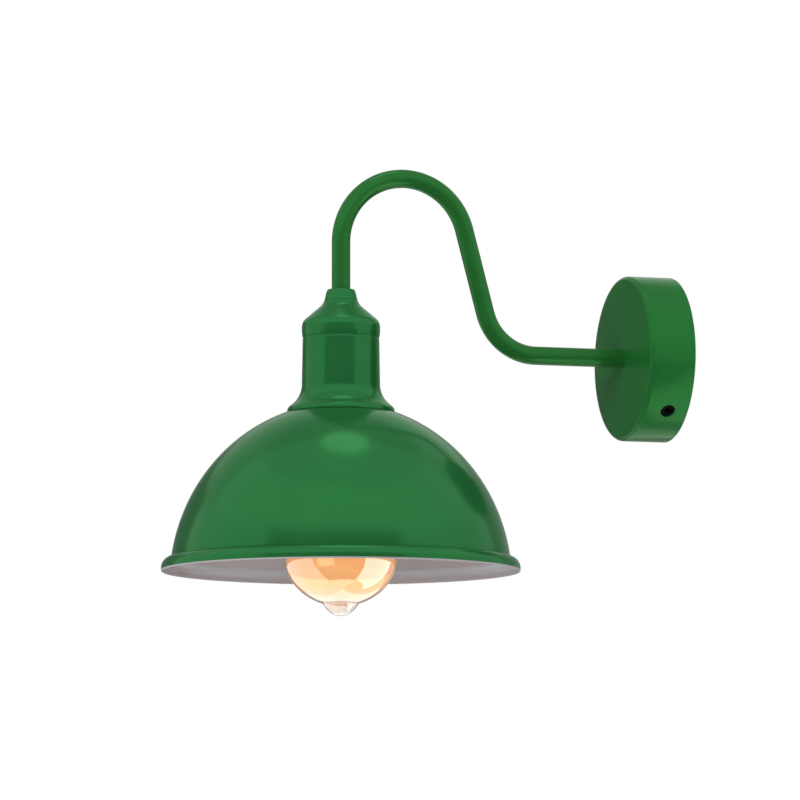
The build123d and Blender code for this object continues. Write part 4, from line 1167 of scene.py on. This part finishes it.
class SCONCE_OT_ring(Operator):
    """Moulds the shade ring with its finger grooves"""

    bl_idname = "sconce.ring"
    bl_label = "Shade ring"

    def execute(self, context):
        grips = 24
        mesh = self.one_grip(2 * pi / grips)
        values = {"Count": grips, "Finish": finish(SLOT_OF["shade_ring"])}
        piece = run_tree("grooved_ring", mesh, tree_of(ring_tree), values, HEAD_SIDE)
        outward(piece)
        finished(piece, FIXTURE, "shade_ring", sharp=40)
        return {"FINISHED"}

    def section(self):
        """The ring's section round from its upper bore: radius, height, and 1 where it is grooved."""
        high, low, wide = top("shade_ring"), bottom("shade_ring"), across("shade_ring")
        bore, collar, edge = 20.05 * MM, 24.0 * MM, 0.4 * MM
        flange = high - 2.5 * MM
        return [
            (bore, high, 0),
            (wide - edge, high, 1),
            (wide, high - edge, 1),
            (wide, flange + edge, 1),
            (wide - edge, flange, 1),
            (collar + 0.5 * MM, flange - 0.3 * MM, 0),
            (collar, flange - 0.8 * MM, 0),
            (collar, low + edge, 0),
            (collar - edge, low, 0),
            (bore, low, 0),
        ]

    def one_grip(self, width):
        """A slice of the ring, from the middle of one ridge to the next, with a groove between."""
        groove, roundness = 1.0 * MM, 0.8
        section = self.section()
        steps, rows = 10, len(section)
        points, faces = [], []
        for step in range(steps + 1):
            turn = width * step / steps
            dent = groove * max(0, cos(2 * pi * (step / steps - 0.5))) ** roundness
            for radius, height, grooved in section:
                here = radius - dent * grooved
                points.append((here * cos(turn), here * sin(turn), height))
        for step in range(steps):
            for row in range(rows):
                first, second = step * rows + row, step * rows + (row + 1) % rows
                faces.append((first, second, second + rows, first + rows))
        mesh = bpy.data.meshes.new("grip")
        mesh.from_pydata(points, [], faces)
        return mesh


class SCONCE_OT_filament(Operator):
    """Draws the glass stem, bends the wire supports and laces the filament over their hooks"""

    bl_idname = "sconce.filament"
    bl_label = "Filament"
    strands = 10
    step = radians(30)
    neck, seal, press, button = -37.2 * MM, -52.0 * MM, -72.0 * MM, -101.0 * MM
    upper = (9.0 * MM, -78.0 * MM)  # radius and height of each ring of hooks
    lower = (15.0 * MM, -117.0 * MM)

    def execute(self, context):
        self.stem()
        self.supports()
        self.lacing()
        return {"FINISHED"}

    def stem(self):
        """The flare that seals the neck, the tube, the flat press, and the rod with its button."""
        tube, pressed, rod, ball, thickness = 4.0 * MM, 3.6 * MM, 1.5 * MM, 2.2 * MM, 0.8 * MM
        flare, flare_above, tube_above = 9.6 * MM, -40.5 * MM, -45.0 * MM
        hollow, hollow_end = 2.9 * MM, self.press + 8 * MM
        outer = interpolate_bezier(
            Vector((flare, self.neck)),
            Vector((7.6 * MM, flare_above)),
            Vector((4.3 * MM, tube_above)),
            Vector((tube, self.seal)),
            16,
        )
        inner = interpolate_bezier(
            Vector((tube - thickness, self.seal)),
            Vector((3.5 * MM, tube_above)),
            Vector((7.0 * MM, flare_above)),
            Vector((flare - thickness, self.neck)),
            16,
        )
        outer += rounded(
            (tube, self.seal, 0),
            (pressed, self.press, 0.6 * MM),
            (rod, self.press - 2.4 * MM, 0.8 * MM),
            (rod, self.button + 1.8 * MM, 0),
            (0, self.button, 0),
        )[1:-1]
        outer += arc((0, self.button), ball, 45, -90, 12)
        outer[-1].x = 0
        outline = [Vector((0, hollow_end)), Vector((hollow, hollow_end)), *inner, *outer]
        piece = spun("flared_stem", outline, HEAD_SIDE, finish("clear_glass"), segments=48)
        finished(piece, BULB, "bulb_stem")

    def hook(self, index):
        """Where the filament turns: even numbers are in the upper ring, odd ones in the lower."""
        radius, height = self.lower if index % 2 else self.upper
        turn = index * self.step
        return Vector((radius * cos(turn), HEAD_Y + radius * sin(turn), height))

    def supports(self):
        """Wires from the press to the upper hooks and from the button to the lower ones, with bent ends."""
        wire, eye = 0.3 * MM, 0.75 * MM
        in_button, in_press, press_foot = 1.6 * MM, 2.9 * MM, self.press - 0.6 * MM
        bends = [radians(-60 + 30 * step) for step in range(10)]
        paths = []
        for index in range(self.strands + 1):
            low_ring = index % 2
            foot = Vector((0, HEAD_Y, self.button if low_ring else press_foot))
            hook = self.hook(index)
            along = (hook - foot).normalized()
            up = Vector((0, 0, 1)) if low_ring else Vector((0, 0, -1))
            up = (up - along * up.dot(along)).normalized()
            start = foot + along * (in_button if low_ring else in_press)
            paths.append([start, *(hook + eye * (along * sin(a) - up * cos(a)) for a in bends)])
        values = {"Radius": wire, "Sides": 8, "Caps": True, "Finish": finish("support_wire")}
        piece = run_tree("wire_supports", path_curve("supports", *paths), tree_of(tube_tree), values)
        finished(piece, BULB, "filament_supports")

    def lacing(self):
        """One wire from the first hook to the last, bowed a little between them as hot wire hangs."""
        wire, bow, steps = 0.15 * MM, 0.5 * MM, 10
        points = []
        for index in range(self.strands):
            start, end = self.hook(index), self.hook(index + 1)
            middle = (start + end) / 2
            from_axis = (middle - Vector((0, HEAD_Y, middle.z))).normalized()
            for step in range(steps):
                share = step / steps
                points.append(start.lerp(end, share) + from_axis * bow * sin(pi * share))
        points.append(self.hook(self.strands))
        values = {"Radius": wire, "Sides": 6, "Caps": True, "Finish": finish("tungsten")}
        piece = run_tree("laced_filament", path_curve("lacing", points), tree_of(tube_tree), values)
        finished(piece, BULB, "filament")


class SCONCE_OT_eased(Operator):
    """Eases the sharp edges of the pieces that keep the CAD's shape"""

    bl_idname = "sconce.eased"
    bl_label = "Eased edges"
    edges = {
        "wall_plate": ("pressed_plate", 0.25),
        "terminal_block": ("moulded_block", 0.3),
        "lampholder_cover": ("moulded_cover", 0.3),
        "lampholder_skirt": ("moulded_skirt", 0.3),
        "lampholder_insert": ("fired_insert", 0.25),
        "arm_nut": ("canopy_nut", 0.4),
        "cap_nut": ("head_nut", 0.4),
        "arm_washer": ("canopy_lock_washer", 0.12),
        "cap_washer": ("head_lock_washer", 0.12),
        "retaining_screws": ("socket_screws", 0.25),
        "earth_washer": ("square_washer", 0.12),
        "earth_screw": ("cross_screw", 0.15),
        "terminal_plates": ("brass_plates", 0.15),
        "centre_contact": ("sprung_tongue", 0.08),
        "cable_bushes": ("nylon_bushes", 0.15),
    }

    def execute(self, context):
        for node, (name, edge) in self.edges.items():
            piece = eased(name, node, edge)
            outward(piece)
            finished(piece, FIXTURE, node, sharp=25)
        return {"FINISHED"}


class SCONCE_OT_finishes(Operator):
    """Gives every piece that keeps its own shape the finish of its slot"""

    bl_idname = "sconce.finishes"
    bl_label = "Finishes"

    def execute(self, context):
        for name, node in frame["nodes"].items():
            node.data.materials.clear()
            node.data.materials.append(finish(SLOT_OF[name]))
        return {"FINISHED"}


STEPS = (
    SCONCE_OT_camera,
    SCONCE_OT_stage,
    SCONCE_OT_finishes,
    SCONCE_OT_canopy,
    SCONCE_OT_arm,
    SCONCE_OT_head,
    SCONCE_OT_shade,
    SCONCE_OT_bulb,
    SCONCE_OT_cap,
    SCONCE_OT_ring,
    SCONCE_OT_filament,
    SCONCE_OT_eased,
)


class SCONCE_PT_panel(Panel):
    """Lists the steps that build the lamp, with its sizes and colours"""

    bl_idname = "SCONCE_PT_panel"
    bl_label = "Gooseneck sconce"
    bl_space_type = "VIEW_3D"
    bl_region_type = "UI"
    bl_category = "Sconce"

    def draw(self, context):
        for group in (context.scene.sconce_sizes, context.scene.sconce_colours, context.scene.sconce_studio):
            box = self.layout.box()
            for name in group.__annotations__:
                box.prop(group, name)
        for step in STEPS:
            self.layout.operator(step.bl_idname)


GROUPS = {
    "sconce_sizes": SconceSizes,
    "sconce_colours": SconceColours,
    "sconce_studio": SconceStudio,
}


def register():
    """Registers the settings, the operators and the panel."""
    for group in GROUPS.values():
        bpy.utils.register_class(group)
    for step in STEPS:
        bpy.utils.register_class(step)
    bpy.utils.register_class(SCONCE_PT_panel)
    for name, group in GROUPS.items():
        setattr(bpy.types.Scene, name, PointerProperty(type=group))


def unregister():
    """Takes back what register added."""
    for name in GROUPS:
        delattr(bpy.types.Scene, name)
    bpy.utils.unregister_class(SCONCE_PT_panel)
    for step in reversed(STEPS):
        bpy.utils.unregister_class(step)
    for group in reversed(list(GROUPS.values())):
        bpy.utils.unregister_class(group)


def main():
    """Registers the settings, the operators and the panel, and runs every step in order."""
    register()
    for step in STEPS:
        module, name = step.bl_idname.split(".")
        getattr(getattr(bpy.ops, module), name)()


if __name__ == "__main__":
    main()
